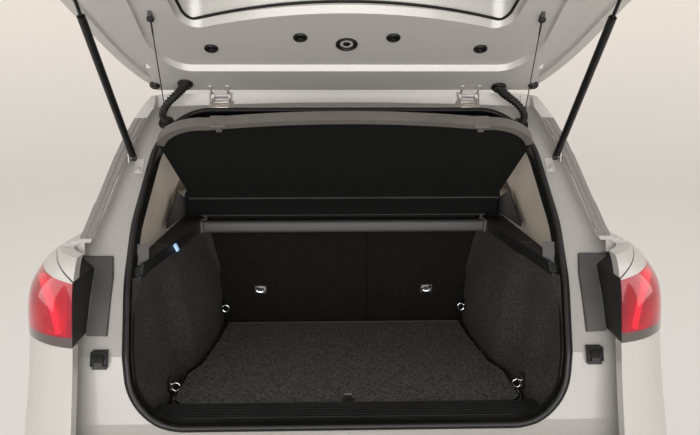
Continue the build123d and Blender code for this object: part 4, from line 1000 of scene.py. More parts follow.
def build_side_details():
    """Plates and rails at the feet of the pillar trims, the cargo lamp, and the bolsters beside the backrests."""
    plates, n = Build(), len(FOOT_PLATE)
    plates.verts += [place(x + d, y + d / 2, h) for d in (0, 3) for x, y, h in FOOT_PLATE]
    plates.faces += [[i, (i + 1) % n, n + (i + 1) % n, n + i] for i in range(n)]
    plates.faces += [list(range(n)), list(range(n, 2 * n))]
    plates.mirrored().object("pillar_foot_plates", "plate_plastic", "body", bevel=0.0006)
    flat_panel(WINDOW_TRIM_OUTLINE, 602, 4, 1.5).mirrored().object("quarter_window_trims", "black_plastic", "body")
    route = smooth_path([place(599, -690, 1123), place(597, -560, 1125), place(592, -300, 1125)], 0.05)
    rail = Build().add(*tube(route, 0.0034, 8))
    rail.add(*block((0.012, 0.046, 0.010), 0.3), axes(place(603, -712, 1126), (0, 0, 1), (1, 0, 0)))
    rail.mirrored().object("ledge_rails", "cap_plastic", "body")
    lamp = Build().add(*block((0.026, 0.024, 0.008), 0.3), axes(place(-556, -700, 1117), (1, 0, 0.45), (0, 1, 0)))
    lamp.object("cargo_lamp", "lamp_glass", "body", bevel=0.001)
    pads = Build()
    rows = []
    for j in range(25):
        t = -math.cos(math.pi * j / 24)
        row = []
        for i in range(33):
            a = 2 * math.pi * i / 32
            c, s = math.cos(a), math.sin(a)
            x = 571 + 49 * math.copysign(abs(c) ** 0.5, c) * pad_profile(t, 20)
            y = -214 - 30 * t + 30 * math.copysign(abs(s) ** 0.6, s) * pad_profile(t, 20)
            row.append(place(x, y, 905 + 345 * t))
        rows.append(row)
    pads.add(*grid(rows))
    pads.mirrored()
    pads.object("side_bolsters", "seat_fabric", "body", sharp=80)
    fillers = backrest_strip(467.2, -108, 44, ((-6.5, -30), (6.5, -34), (6.5, 34), (-6.5, 30)))
    fillers.mirrored().object("backrest_side_fillers", "carpet", "body", bevel=0.003)


def build_tie_downs():
    """Moulded cups behind the lashing rings."""
    cups = Build()
    for x, y, h in ((474, -345, 795), (541, -940, 745)):
        cups.add(*lathe([(0, 0), (0.024, 0), (0.026, 0.003), (0.022, 0.006), (0.014, 0.003), (0, 0.002)], 28),
                 axes(place(x, y, h), (-1, 0, 0)))
    cups.mirrored()
    cups.object("tie_down_cups", "black_plastic", "body")


def seat_place(x, depth, height):
    """A point of a backrest drawn upright: height over its pivot, depth ahead of its middle."""
    lean = Matrix.Rotation(math.radians(SEAT_LEAN), 3, "X")
    return place(0, *SEAT_PIVOT) + lean @ (Vector((x, depth, height)) / 1000)


def backrest_strip(x, foot, step, section):
    """Closed strip that leans with a backrest, from its foot's height over the pivot, with a section in millimetres."""
    steps, n = 12, len(section)
    strip = Build()
    for k in range(steps + 1):
        centre = seat_place(x, 0, foot + step * k)
        strip.verts += [centre + Vector((dx, dy, 0)) / 1000 for dx, dy in section]
    strip.faces += [[n * i + k, n * i + (k + 1) % n, n * i + n + (k + 1) % n, n * i + n + k]
                    for i in range(steps) for k in range(n)]
    strip.faces += [list(range(n)), [n * steps + k for k in range(n)]]
    return strip


SEATS = (
    # name, edge at the split, outer edges at heights over the pivot, headrest middles
    ("left", 89, ((22, -457), (190, -457), (310, -483), (472, -512)), (-300, -60)),
    ("right", 95, ((22, 457), (190, 457), (310, 483), (472, 512)), (275,)),
)
SEAT_DEPTH = 42


def outer_edge(points, height):
    """Where a backrest's outer edge lies at a height, from its (height, x) points."""
    for (h0, x0), (h1, x1) in zip(points, points[1:]):
        if height <= h1:
            return x0 + (x1 - x0) * max(0.0, height - h0) / (h1 - h0)
    return points[-1][1]


def pad_profile(s, power=7.0):
    """Closed, crowned section: 1 in the middle, 0 at the edge."""
    return (1 - min(1.0, abs(s)) ** power) ** (1 / 2.2)


def seams(value, places, wide):
    """Depth of the sewn channels at a place, from 0 to 1."""
    return max((math.exp(-((value - spot) / wide) ** 2) for spot in places), default=0.0)


def build_seat(name, split, edges, middles, seam):
    """One backrest: crowned cushion with sewn channels in front, flat carpeted board behind."""
    wide, tall = 72, 60
    fronts, backs = [], []
    for j in range(tall + 1):
        t = -math.cos(math.pi * j / tall)
        height = 247 + 224 * t
        outer = outer_edge(edges, height)
        low, high = sorted((split, outer))
        front, back = [], []
        for i in range(wide + 1):
            s = -math.cos(math.pi * i / wide)
            x = (low + high) / 2 + (high - low) / 2 * s
            rim = pad_profile(s, 14) * pad_profile(t, 12)
            crown = 0.86 + 0.14 * math.cos(math.pi * t / 2) * math.cos(math.pi * s / 2)
            bolster = 0.10 * max(seams(x, [m - 150 for m in middles], 45), seams(x, [m + 150 for m in middles], 45))
            upright = 0.9 if -0.9 < t < 0.86 else 0
            across = 0.7 if min(abs(x - m) for m in middles) < 104 else 0
            channel = max(upright * seams(x, [m + d for m in middles for d in (-105, 105)], 5),
                          across * seams(height, (95, 150, 205, 260, 315, 370), 4.5), 0.8 * seams(height, (430,), 5))
            depth = SEAT_DEPTH * rim * (crown + bolster) - seam * channel * rim
            front.append(seat_place(x, min(depth, SEAT_DEPTH + 2), height))
            back.append(seat_place(x, -SEAT_DEPTH * pad_profile(s, 26) * pad_profile(t, 26), height))
        fronts.append(front)
        backs.append(back)
    cushion = Build().add(*grid(fronts)).object("seat_cushion_" + name, "seat_fabric", "seat_back_" + name,
                                               ["seat_back_" + name], sharp=80)
    board = Build().add(*grid(backs)).object("seat_board_" + name, "carpet", "seat_back_" + name, sharp=80)
    piping = Build()
    loop = fronts[0] + [row[-1] for row in fronts[1:]] + fronts[-1][-2::-1] + [row[0] for row in fronts[-2:0:-1]]
    piping.add(*tube(loop + [loop[0]], 0.0024, 6))
    piping.object("seat_piping_" + name, "binding", "seat_back_" + name)


def build_headrest(node, body, middles):
    """Rounded headrests with a seam round the side, on chromed posts."""
    pads, posts = Build(), Build()
    for middle in middles:
        rows = []
        for j in range(25):
            v = math.pi * j / 24
            row = []
            for i in range(40):
                u = 2 * math.pi * i / 40
                cx, cy, cz = math.cos(u) * math.sin(v), math.sin(u) * math.sin(v), math.cos(v)
                power = 0.42
                x, y, z = (math.copysign(abs(c) ** power, c) for c in (cx, cy, cz))
                seam = 1 - 0.035 * math.exp(-((abs(x) - 0.93) / 0.03) ** 2)
                scale = Vector((114 * x, (37 + 3 * (1 - x * x)) * y * seam, 59 * z * seam))
                row.append(seat_place(middle + scale.x, scale.y, 567 + scale.z))
            rows.append(row + [row[0]])
        pads.add(*grid(rows))
        for offset in (-60, 60):
            line = [seat_place(middle + offset, 0, h) for h in (474, 500, 530)]
            posts.add(*tube(line, 0.0058, 14))
            posts.add(*lathe([(0, 0), (0.013, 0), (0.014, 0.004), (0.009, 0.009), (0.0066, 0.010)], 20),
                      axes(seat_place(middle + offset, 0, 470.5), seat_place(0, 0, 1) - seat_place(0, 0, 0)))
    pad = pads.object(node + "_pads", "seat_fabric", body, [node], sharp=80)
    posts.object(node + "_posts", "chrome", body)


def build_split_filler():
    """Felt lip that closes the gap between the two backrests."""
    lip = backrest_strip(92, 14, 36, ((-2.6, -24), (2.6, -24), (2.6, 30), (-2.6, 30)))
    lip.object("backrest_split_lip", "carpet", "seat_back_left")


def build_seats(sizes):
    """Both backrests with their headrests and tether loops."""
    for name, split, edges, middles in SEATS:
        build_seat(name, split, edges, middles, sizes.seam * 1000)
    build_headrest("headrests_left", "seat_back_left", (-300, -60))
    build_headrest("headrest_right", "seat_back_right", (275,))
    loops = Build()
    for x, height in ((-322, 203), (322, 203)):
        centre = seat_place(x, -SEAT_DEPTH - 3, height)
        ring = [centre + Vector((0.017 * math.cos(a), 0, 0.010 * math.sin(a)))
                for a in [math.pi * k / 12 for k in range(25)]]
        loops.add(*tube(ring, 0.0028, 8))
        loops.add(*block((0.046, 0.005, 0.034), 0.3), Matrix.Translation(seat_place(x, -SEAT_DEPTH - 0.5, height)))
    left = Build().add([v for v in loops.verts if v.x < 0], [f for f in loops.faces if loops.verts[f[0]].x < 0])
    left.object("tether_loop_left", "chrome", "seat_back_left")
    half = len(left.verts)
    right = Build().add(loops.verts[half:], [[i - half for i in f] for f in loops.faces if loops.verts[f[0]].x > 0])
    right.object("tether_loop_right", "chrome", "seat_back_right")


# Lamps
LENS_CREST = (940, 1100, 1165)  # heights between which the lens swells


def on_body(node, x, h):
    """Outer surface of a body node met by a level ray from behind."""
    return on_node(node, place(x, -1900, h), (0, 1, 0))


def lens_part(side, low, swell):
    """The part of one lamp lens below or above its slanted upper edge, as a mesh of its own."""
    shell = bmesh.new()
    shell.from_mesh(frame["nodes"]["tail_lamp_lenses"].data)
    bmesh.ops.remove_doubles(shell, verts=shell.verts, dist=1e-6)
    bmesh.ops.delete(shell, geom=[v for v in shell.verts if v.co.x * side < 0], context="VERTS")
    cut = bmesh.ops.bisect_plane(shell, geom=shell.verts[:] + shell.edges[:] + shell.faces[:],
                                 plane_co=place(side * 790, -1130, 1147), plane_no=(-side * 0.077, -0.093, 1),
                                 clear_outer=low, clear_inner=not low)
    rim = [edge for edge in cut["geom_cut"] if isinstance(edge, bmesh.types.BMEdge)]
    bmesh.ops.triangle_fill(shell, edges=rim, use_beauty=True)
    for _ in range(4):
        long_edges = [e for e in shell.edges if e.calc_length() > 0.016]
        bmesh.ops.subdivide_edges(shell, edges=long_edges, cuts=1)
        bmesh.ops.triangulate(shell, faces=shell.faces[:])
    base, crest, top = LENS_CREST
    for v in shell.verts:
        h = v.co.z * 1000 + ORIGIN_HEIGHT
        t = max(0.0, min(1.0, (h - base) / (crest - base) if h < crest else (top - h) / (top - crest)))
        way = Vector((v.co.x - side * 0.735, v.co.y + 1.040, 0))
        angle = math.atan2(-way.y, abs(way.x))
        v.co += way.normalized() * swell * t * t * (3 - 2 * t) * max(0.0, math.cos((angle - 0.6) * 1.6))
    shell.verts.index_update()
    part = [v.co.copy() for v in shell.verts], [[v.index for v in face.verts] for face in shell.faces]
    shell.free()
    return part


def build_lenses(sizes):
    """Lamp covers that swell at the shoulder, and the painted fillets above them."""
    covers, fillets = Build(), Build()
    for side in (-1, 1):
        covers.add(*lens_part(side, True, sizes.swell))
        fillets.add(*lens_part(side, False, sizes.swell))
    covers.object("tail_lamp_covers", "red_lens", "body", ["tail_lamp_lenses"])
    fillets.object("lamp_fillets", "body_paint", "body")


def lamp_line(points, depth):
    """Points at a depth inside the lamp's lens, from (angle round the corner, height) pairs."""
    out = []
    for angle, h in points:
        a = math.radians(angle)
        way = Vector((-math.cos(a), math.sin(a), 0))
        start = place(735, -1040, h) - way * 0.6
        spot, normal = on_node("tail_lamp_lenses", start, way)
        out.append((spot - normal * depth / 1000, normal))
    return out


def build_lamps():
    """Reflector, light guides and ribs inside each tail lamp."""
    bowl_rows = []
    for h in [988 + (1182 - 988) * k / 12 for k in range(13)]:
        row = []
        for k in range(13):
            angle = 12 + (84 - 12) * k / 12
            try:
                (spot, normal), = lamp_line([(angle, h)], 22)
            except ValueError:
                spot = row[-1] if row else None
            if spot is not None:
                row.append(spot)
        if len(row) == 13:
            bowl_rows.append(row)
    Build().add(*grid(bowl_rows)).mirrored().object("lamp_reflectors", "lamp_reflector", "body")
    for name, material, start, end, route in LIGHT_GUIDES:
        line = smooth_path([spot for spot, _ in lamp_line(route, 12)], 0.006)
        radii = [start + (end - start) * i / (len(line) - 1) for i in range(len(line))]
        Build().add(*tube(line, radii, 10)).mirrored().object(name, material, "body")
    ribs = Build()
    for k in range(9):
        h = 1022 + 9 * k
        line = [spot for spot, _ in lamp_line([(30, h), (40, h), (50, h), (58, h)], 13)]
        ribs.add(*tube(line, 0.0018, 6))
    ribs.mirrored().object("lamp_ribs", "lamp_reflector", "body")


LIGHT_GUIDES = (
    # bright band that sweeps down beside the tailgate, and the lower bar towards the flank
    ("lamp_light_bands", "light_guide", 0.0105, 0.0065,
     ((14, 1132), (40, 1114), (60, 1084), (72, 1050), (78, 1006))),
    ("lamp_light_bars", "lamp_reflector", 0.0050, 0.0070,
     ((16, 1046), (32, 1030), (48, 1016), (62, 1006), (72, 1000))),
)


def build_gate_lamps():
    """Ribbed optics under the lamps that ride on the tailgate."""
    ribs = Build()
    for k in range(6):
        h = 1004 + 30 * k
        line = []
        for x in (618, 645, 672, 698):
            spot, normal = on_gate("tailgate_lamps", x, h, True)
            line.append(spot + normal * 0.0002)
        ribs.add(*tube(line, 0.0012, 6))
    ribs.mirrored().object("gate_lamp_ribs", "light_guide", "tailgate")


# Tailgate details
PLUG_SPOTS = ((-392, 1424, 19), (-132, 1380, 19), (0, 1407, 30), (132, 1380, 19), (392, 1424, 19))
BUFFERS = ((-598, 1560), (598, 1560))


def build_gate_rubbers():
    """Grommets over the holes of the inner panel, and the stop buffers in its upper corners."""
    caps = Build()
    for x, h, r in PLUG_SPOTS:
        R = r / 1000
        profile = [(0, 0.0008), (R * 0.3, 0.0008), (R * 0.36, 0.0022), (R * 0.62, 0.0026), (R * 0.68, 0.0010),
                   (R * 0.80, 0.0010), (R * 0.86, 0.0042), (R * 0.98, 0.0048), (R * 1.06, 0.0030), (R * 1.08, -0.002)]
        if r > 25:
            profile[1:4] = [(R * 0.34, 0.0008), (R * 0.38, -0.0008), (R * 0.60, -0.0008)]
        caps.add(*lathe(profile, 36), gate_spot(x, h, 42 - 0.4))
    caps.object("gate_grommets", "seal_rubber", "tailgate", ["tailgate_plugs"])
    buffers = Build()
    for x, h in BUFFERS:
        profile = [(0, 0.0105), (0.007, 0.0105), (0.0085, 0.0085), (0.012, 0.008), (0.0155, 0.005), (0.017, 0.0),
                   (0.017, -0.004)]
        buffers.add(*lathe(profile, 28), gate_spot(x, h, 22))
    buffers.object("gate_buffers", "seal_rubber", "tailgate")


def build_hinges():
    """Ladder-like hinge leaves, cheeks and cross bars on the channel and on the tailgate, each with its bolts."""
    body, gate, heads = Build(), Build(), Build()
    for side in (-1, 1):
        body.add(*block((0.040, 0.077, 0.0018), 0.3), channel_spot(side * 400, 1574, 0.6))
        for offset in (-27, 27):
            body.add(*block((0.064, 0.0068, 0.013), 0.3), channel_spot(side * 400 + offset, 1587, 6))
            gate.add(*block((0.034, 0.0060, 0.009), 0.3), gate_spot(side * 400 + offset, 1583, 19))
            head = gate_spot(side * 400 + offset, 1566, 22)
            gate.add(*lathe([(0, 0), (0.0085, 0), (0.009, 0.003), (0.0065, 0.0055), (0, 0.006)], 20), head)
        for h in (1566, 1582, 1598):
            body.add(*block((0.0055, 0.054, 0.008), 0.3), channel_spot(side * 400, h, 6))
        for offset in (-11, 11):
            heads.add(*bolt(0.0062, 0.006), channel_spot(side * 400 + offset, 1574, 1))
    body.object("hinge_plates_body", "hinge_steel", "body", bevel=0.0008)
    gate.object("hinge_plates_gate", "hinge_steel", "tailgate", bevel=0.0008)
    heads.object("hinge_bolts", "hinge_steel", "body", bevel=0.0005)


SHUT_DEPTH = 45                 # the body side ends this far behind the channel
SHUT_SECTION = ((0, 0.3), (0.02, 3.4), (0.10, 4.2), (0.20, 2.2), (0.46, 1.7), (0.53, 3.8), (0.60, 1.4), (0.93, 0.8),
                (1, 0.1))


def shut_face(h):
    """Inner and outer half width of the pillar's shut face at a height."""
    hits = []
    for step in range(120):
        x = 900 - 3 * step
        try:
            spot, _ = on_body("quarter_panel_right", x, h)
        except ValueError:
            continue
        if abs(spot.y * 1000 - (channel_y(h) - SHUT_DEPTH)) < 2.5:
            hits.append(x)
    return min(hits), max(hits)


def build_channel_details():
    """Beaded shut faces of the pillars, and the screwed tabs at the feet of the gas struts."""
    faces, tabs = Build(), Build()
    rows = []
    for h in range(1215, 1541, 12):
        inner, outer = shut_face(h)
        rows.append([place(inner + (outer - inner) * u, channel_y(h) - SHUT_DEPTH, h)
                     + channel_normal(h) * lift / 1000 for u, lift in SHUT_SECTION])
    faces.add(*grid(rows))
    # the strips wear a darker copy of the body paint: painted shade
    faces.mirrored().object("pillar_shut_faces", "shut_face_painted_shade", "body", sharp=60)
    for side in (-1, 1):
        tabs.add(*block((0.050, 0.028, 0.003), 0.3), channel_spot(side * 634, 1398, 1))
        tabs.add(*bolt(0.006, 0.007), channel_spot(side * 634, 1386, 2.4))
    tabs.object("strut_feet", "body_paint", "body", bevel=0.0006)


COVER_OUTLINE = [(661, 968), (717, 970), (717, 1132), (750, 1154), (750, 1160), (670, 1160), (662, 1110)]


def build_lamp_covers():
    """Covers on the channel beside the lamps, with a raised middle, and the gussets over the lamps."""
    covers = Build()
    middle = Vector((700, 1060))
    for lift, shrink in ((0.3, 0), (8.5, 0), (11, 2.5)):
        for p in COVER_OUTLINE:
            x, h = middle + (Vector(p) - middle) * (1 - shrink / 60)
            covers.verts.append(place(x, channel_y(h), h) + channel_normal(h) * lift / 1000)
    n = len(COVER_OUTLINE)
    covers.faces += [[r * n + i, r * n + (i + 1) % n, (r + 1) * n + (i + 1) % n, (r + 1) * n + i]
                     for r in range(2) for i in range(n)]
    covers.faces += [list(range(2 * n, 3 * n))]
    covers.mirrored().object("lamp_side_covers", "grey_plastic", "body", ["tail_lamp_surrounds"])
    gusset = Build().add(*block((0.040, 0.040, 0.003), 0.3), axes(place(766, -1000, 1190), (0, -1, 0.25)))
    gusset.mirrored().object("lamp_gussets", "body_paint", "body", bevel=0.001)


def build_stops():
    """Guides of the tailgate's lower edge: a cup with a ribbed rubber in each side of the channel."""
    cups, pads = Build(), Build()
    for side in (-1, 1):
        base = channel_spot(side * 674, 915, 14)
        for dx, dz, w, t in ((0, 21, 0.040, 0.004), (0, -21, 0.040, 0.004), (-18, 0, 0.004, 0.046),
                             (18, 0, 0.004, 0.046)):
            cups.add(*block((w, t, 0.005), 0.3), base @ Matrix.Translation((dx / 1000, dz / 1000, 0.001)))
        rib = Build().add(*block((0.021, 0.0035, 0.0045), 0.3), Matrix.Translation((0, -2 * 0.0056, 0.0085)))
        pads.add(*repeated(rib, 5, "seal_rubber", step=(0.0, 0.0056, 0.0)), base)
    cups.object("stop_cups", "black_plastic", "body")
    pads.object("stop_ribs", "seal_rubber", "body")


# Wheels
TYRE_SECTION = [(229, -84), (236, -92), (252, -101), (272, -106.5), (298, -107.4), (318, -105), (330, -99), (338, -90),
                (342.5, -76), (344.5, -58)]
GROOVES = ((-60, 5), (-24, 6), (24, 6), (60, 5))


def tyre_profile(depth):
    """(radius, width) points of the tyre with its grooves, in millimetres."""
    half, crown = TYRE_SECTION[:-1], []
    for x, wide in GROOVES:
        r = 345 - abs(x) / 60 * 0.8
        crown += [(r, x - wide - 1.5), (r - depth, x - wide + 1), (r - depth, x + wide - 1), (r, x + wide + 1.5)]
    return half + crown + [(r, -x) for r, x in reversed(half)]


def wheel_matrix(side):
    """Puts local Z along the axle, outwards, at the middle of the tyre."""
    return axes(place(side * WHEEL_X, *AXLE), (side, 0, 0), (0, 0, 1))


def build_tyre(name, side, sizes):
    """Tyre with its tread grooves, sidewall beads and sipes."""
    verts, faces = lathe([(r / 1000, x / 1000) for r, x in tyre_profile(sizes.groove * 1000)], 120)
    tyre = Build().add(verts, faces, wheel_matrix(side))
    for r, x, wide in ((322, 104.4, 1.2), (286, 107.6, 1.0), (262, 104.6, 1.0)):
        ring = lathe([((r - wide) / 1000, (x - 1) / 1000), (r / 1000, x / 1000 + 0.001),
                      ((r + wide) / 1000, (x - 1) / 1000)], 96)
        tyre.add(*ring, wheel_matrix(side))
    tyre.object("tyre_tread_" + name, "tyre", "wheel_" + name, ["tyre_" + name], sharp=30)
    row = Build()
    for x, wide in ((-86, 17), (86, 17), (-42, 11), (42, 11), (0, 15)):
        y = 0.0 if abs(x) > 60 else 0.004
        row.add(*block((wide * 2 / 1000, 0.0016, 0.006), 0.2),
                Matrix.Translation((x / 1000, y, 0.3425 - abs(x) / 60 * 0.0016)))
    # the sipes are thin near-black blocks in the tread: painted shade of the slits
    round_tyre = repeated(row, sizes.sipes, "sipe_painted_shade", turn=(2 * math.pi / sizes.sipes, 0.0, 0.0))
    sipes = Build().add(*round_tyre, Matrix.Translation(place(side * WHEEL_X, *AXLE)) @ Matrix.Scale(side, 4, (1, 0, 0)))
    sipes.object("tyre_sipes_" + name, "sipe_painted_shade", "wheel_" + name)



RIM_SECTION = [(218, -100), (228, -100), (236, -97), (236, -91), (224, -86), (216, -70), (206, -30), (206, 40), (216, 76),
               (224, 86), (236, 92), (237, 99), (230, 102), (222, 99), (214, 86), (206, 74), (196, 40), (196, -30), (206, -72),
               (218, -100)]
SPOKE_ROWS = [
    # radius, half width, face of the spoke, depth of the spoke
    (52, 17, 40, 26), (80, 14, 44, 30), (120, 11.5, 52, 30), (160, 11, 62, 28), (190, 12.5, 72, 22), (212, 16, 80, 14),
]


def build_wheel(name, side):
    """Five twin-spoke wheel with its barrel, cap, bolts and vented disc."""
    wheel = Build().add(*lathe([(r / 1000, x / 1000) for r, x in RIM_SECTION], 120), wheel_matrix(side))
    rows = []
    for r, half, face, deep in SPOKE_ROWS:
        rows.append([Vector((x / 1000, r / 1000, z / 1000)) for x, z in (
            (-half, face - deep), (-half, face - 3), (-half + 3, face), (0, face + 1.2), (half - 3, face),
            (half, face - 3), (half, face - deep), (0, face - deep - 2), (-half, face - deep))])
    twin = Build()
    for lean in (-9, 9):
        twin.add(*grid(rows), Matrix.Rotation(math.radians(lean), 4, "Z"))
    fifth = (0.0, 0.0, 2 * math.pi / 5)
    wheel.add(*repeated(twin, 5, "alloy", turn=fifth), wheel_matrix(side))
    hub = [(0, 8), (62, 8), (66, 30), (62, 41), (54, 43), (40, 43), (38, 34), (35, 34), (34, 40), (0, 41)]
    wheel.add(*lathe([(r / 1000, x / 1000) for r, x in hub], 60), wheel_matrix(side))
    sleeve = ((58, -104), (60, -104), (60, 8), (58, 8))
    wheel.add(*lathe([(r / 1000, x / 1000) for r, x in sleeve], 48), wheel_matrix(side))
    wheel.object("alloy_wheel_" + name, "alloy", "wheel_" + name, ["wheel_rim_" + name], sharp=28)
    nut = Build().add(*bolt(0.0095, 0.014), Matrix.Translation((0, 0.050, 0.0425)))
    nuts = Build().add(*repeated(nut, 5, "chrome", turn=fifth), wheel_matrix(side) @ Matrix.Rotation(math.radians(36), 4, "Z"))
    cap = [(0, 0.0435), (0.020, 0.0435), (0.029, 0.0425), (0.0335, 0.040), (0.0335, 0.034)]
    nuts.add(*lathe(cap, 40), wheel_matrix(side))
    nuts.object("wheel_nuts_" + name, "chrome", "wheel_" + name, bevel=0.0005)
    disc = [(60, -104), (135, -104), (135, -99), (131, -99), (131, -95), (135, -95), (135, -90), (74, -90), (72, -78),
            (60, -78)]
    brake = Build().add(*lathe([(r / 1000, x / 1000) for r, x in disc + disc[:1]], 96), wheel_matrix(side))
    holes = Build()
    for a in (0, math.radians(9) + 1):
        holes.add(*lathe([(0, 0), (0.0026, 0), (0.0022, 0.0006), (0, 0.0006)], 8),
                  Matrix.Translation((0.1 * math.cos(a), 0.1 * math.sin(a), -0.0902)))
    brake.add(*repeated(holes, 20, "brake_iron", turn=(0.0, 0.0, 2 * math.pi / 20)), wheel_matrix(side))
    brake.object("brake_disc_" + name, "brake_iron", "wheel_" + name, sharp=30)
    valve = Build().add(*lathe([(0, 0.03), (0.004, 0.03), (0.004, 0), (0.006, -0.004), (0, -0.006)], 12),
                        wheel_matrix(side) @ Matrix.Translation((0.0, -0.193, 0.062)))
    valve.object("tyre_valve_" + name, "seal_rubber", "wheel_" + name)


def build_wheels(sizes):
    """Both wheels and the calipers over their discs."""
    for name, side in SIDES:
        build_tyre(name, side, sizes)
        build_wheel(name, side)
    build_calipers()


def build_calipers():
    """Floating calipers over the front of the brake discs."""
    slice_of = Build()
    for x, y, wide, tall in ((656, 118, 20, 46), (693, 118, 12, 46), (675, 146, 52, 12)):
        slice_of.add(*block((wide / 1000, tall / 1000, 0.024), 0.25), Matrix.Translation((x / 1000, y / 1000, 0)))
    caliper = Build().add(*repeated(slice_of, 7, "black_steel", turn=(math.radians(8), 0.0, 0.0)),
                          Matrix.Translation(place(0, *AXLE)) @ Matrix.Rotation(math.radians(-28), 4, "X"))
    caliper.mirrored().object("brake_calipers", "black_steel", "body", bevel=0.002)


# Outside
def build_bumper_details():
    """Reflectors, parking sensors and ribbed step pad of the bumper."""
    reflectors, sensors, pad = Build(), Build(), Build()
    for x in (560, -560):
        line, outs, ups = [], [], []
        for k in range(7):
            spot, normal = on_body("bumper_cover", x - 75 + 25 * k, 440)
            line.append(spot)
            outs.append(Vector((0, 0, 1)))
            ups.append(normal)
        profile = [(-0.016, 0), (-0.014, 0.004), (0.014, 0.004), (0.016, 0)]
        reflectors.add(*sweep(line, outs, ups, profile, closed=False))
    for x in (-620, -240, 240, 620):
        spot, normal = on_body("bumper_cover", x, 535)
        face = [(0, 0.0015), (0.0085, 0.0015), (0.009, 0.0008), (0.0095, 0.002), (0.0118, 0.0022), (0.0125, 0.0002)]
        sensors.add(*lathe(face, 28), axes(spot, normal))
    reflectors.object("bumper_reflectors", "red_lens", "body")
    sensors.object("parking_sensors", "sensor_paint", "body")
    line, outs, ups = [], [], []
    for k in range(25):
        x = -540 + 45 * k
        spot, normal = on_body("bumper_cover", x, 641)
        line.append(Vector((spot.x, spot.y, 0)) + place(0, 0, 655) + Vector((0, 0.034, 0)))
        outs.append(Vector((0, 1, 0)))
        ups.append(Vector((0, 0, 1)))
    profile = [(-0.026, 0), (-0.024, 0.0022)]
    for k in range(5):
        y = -0.019 + k * 0.0095
        profile += [(y - 0.002, 0.0022), (y - 0.0012, 0.0035), (y + 0.0012, 0.0035), (y + 0.002, 0.0022)]
    profile += [(0.024, 0.0022), (0.026, 0)]
    pad.add(*sweep(line, outs, ups, profile, closed=False))
    pad.object("bumper_step_pad", "black_plastic", "body")


def build_gate_outside():
    """Wiper, plate lamps, grip strip and high brake lamp of the tailgate's outer face."""
    wiper = Build()
    pivot, normal = on_gate("tailgate_glass", 0, 1140, True)
    wiper.add(*lathe([(0, 0.018), (0.012, 0.018), (0.016, 0.012), (0.018, 0.0), (0.018, -0.002)], 28), axes(pivot, normal))
    arm = []
    for k in range(9):
        x = 8 + 36 * k
        spot, n = on_gate("tailgate_glass", x, 1140 + k * 3, True)
        arm.append((spot + n * (0.014 - 0.0006 * k), n))
    outs = [n.cross((arm[-1][0] - arm[0][0]).normalized()).normalized() for _, n in arm]
    wiper.add(*sweep([p for p, _ in arm], outs, [n for _, n in arm],
                     [(-0.007, -0.003), (-0.006, 0.003), (0, 0.005), (0.006, 0.003), (0.007, -0.003)], closed=False))
    blade = []
    for k in range(13):
        x = 40 + 26 * k
        spot, n = on_gate("tailgate_glass", x, 1144 + k * 2, True)
        blade.append((spot + n * 0.0045, n))
    outs = [n.cross((blade[-1][0] - blade[0][0]).normalized()).normalized() for _, n in blade]
    wiper.add(*sweep([p for p, _ in blade], outs, [n for _, n in blade],
                     [(-0.005, -0.0042), (-0.006, 0.002), (0, 0.0045), (0.006, 0.002), (0.005, -0.0042)], closed=False))
    wiper.object("rear_wiper", "black_plastic", "tailgate")
    strip, lamps = Build(), Build()
    line = [on_gate("tailgate_panel", -255 + 51 * k, 922, True) for k in range(11)]
    ups = [n for _, n in line]
    profile = [(-0.013, 0), (-0.012, 0.006), (-0.004, 0.011), (0.008, 0.010), (0.013, 0.003), (0.013, 0)]
    outs = [gate_way((0, 0, 1))] * 11
    strip.add(*sweep([p for p, _ in line], outs, ups, profile, closed=False))
    strip.object("grip_strip", "body_paint", "tailgate")
    for x in (-120, 120):
        spot, n = on_gate("tailgate_panel", x, 902, True)
        lamps.add(*block((0.046, 0.014, 0.006), 0.3), axes(spot + n * 0.002, n, gate_way((1, 0, 0))))
    lamps.object("plate_lamps", "light_guide", "tailgate")
    brake = Build()
    line = [on_gate("tailgate_panel", -190 + 38 * k, 1522, True) for k in range(11)]
    brake.add(*sweep([p for p, _ in line], [n.cross(Vector((1, 0, 0))).normalized() for _, n in line], [n for _, n in line],
                     [(-0.010, -0.001), (-0.009, 0.004), (0.009, 0.004), (0.010, -0.001)], closed=False))
    brake.object("high_brake_lamp", "red_lens", "tailgate")


def build_underbody():
    """Silencer with its pipes, and rubber boots on the dampers."""
    silencer = Build()
    outline = [(0.15 * math.copysign(abs(c) ** 0.6, c), 0.07 * math.copysign(abs(s) ** 0.6, s))
               for c, s in [(math.cos(a), math.sin(a)) for a in [2 * math.pi * k / 32 for k in range(32)]]]
    stations = ((-155, 0.86), (-150, 0.97), (-140, 1.0), (140, 1.0), (150, 0.97), (155, 0.86))
    path = [place(x, -1262, 318) for x, _ in stations]
    rows = [[p + Vector((0, u * s * 0.45, v * s * 0.65)) for u, v in outline] for p, (_, s) in zip(path, stations)]
    for row in rows:
        row.append(row[0])
    silencer.add(*grid(rows))
    for row in (rows[0], rows[-1]):
        silencer.add(row[:-1], [list(range(32))])
    tail = ((150, -1262, 318), (230, -1262, 318), (290, -1274, 300), (318, -1296, 258))
    pipe = smooth_path([place(*p) for p in tail], 0.012)
    silencer.add(*tube(pipe, 0.024, 20))
    feed = ((-150, -1262, 318), (-240, -1262, 318), (-350, -1220, 318), (-356, -1100, 318), (-356, -900, 350),
            (-352, -600, 395), (-300, -450, 400), (-300, -10, 400))
    front = smooth_path([place(*p) for p in feed], 0.02)
    silencer.add(*tube(front, 0.024, 20))
    silencer.object("exhaust", "exhaust_steel", "body", sharp=40)
    boots = Build()
    for side in (-1, 1):
        foot, top = place(side * 560, -548, 560), place(side * 560, -536, 700)
        line = [foot.lerp(top, k / 24) for k in range(25)]
        boots.add(*tube(line, [0.021 if k % 2 else 0.016 for k in range(25)], 20))
    boots.object("damper_boots", "seal_rubber", "body")


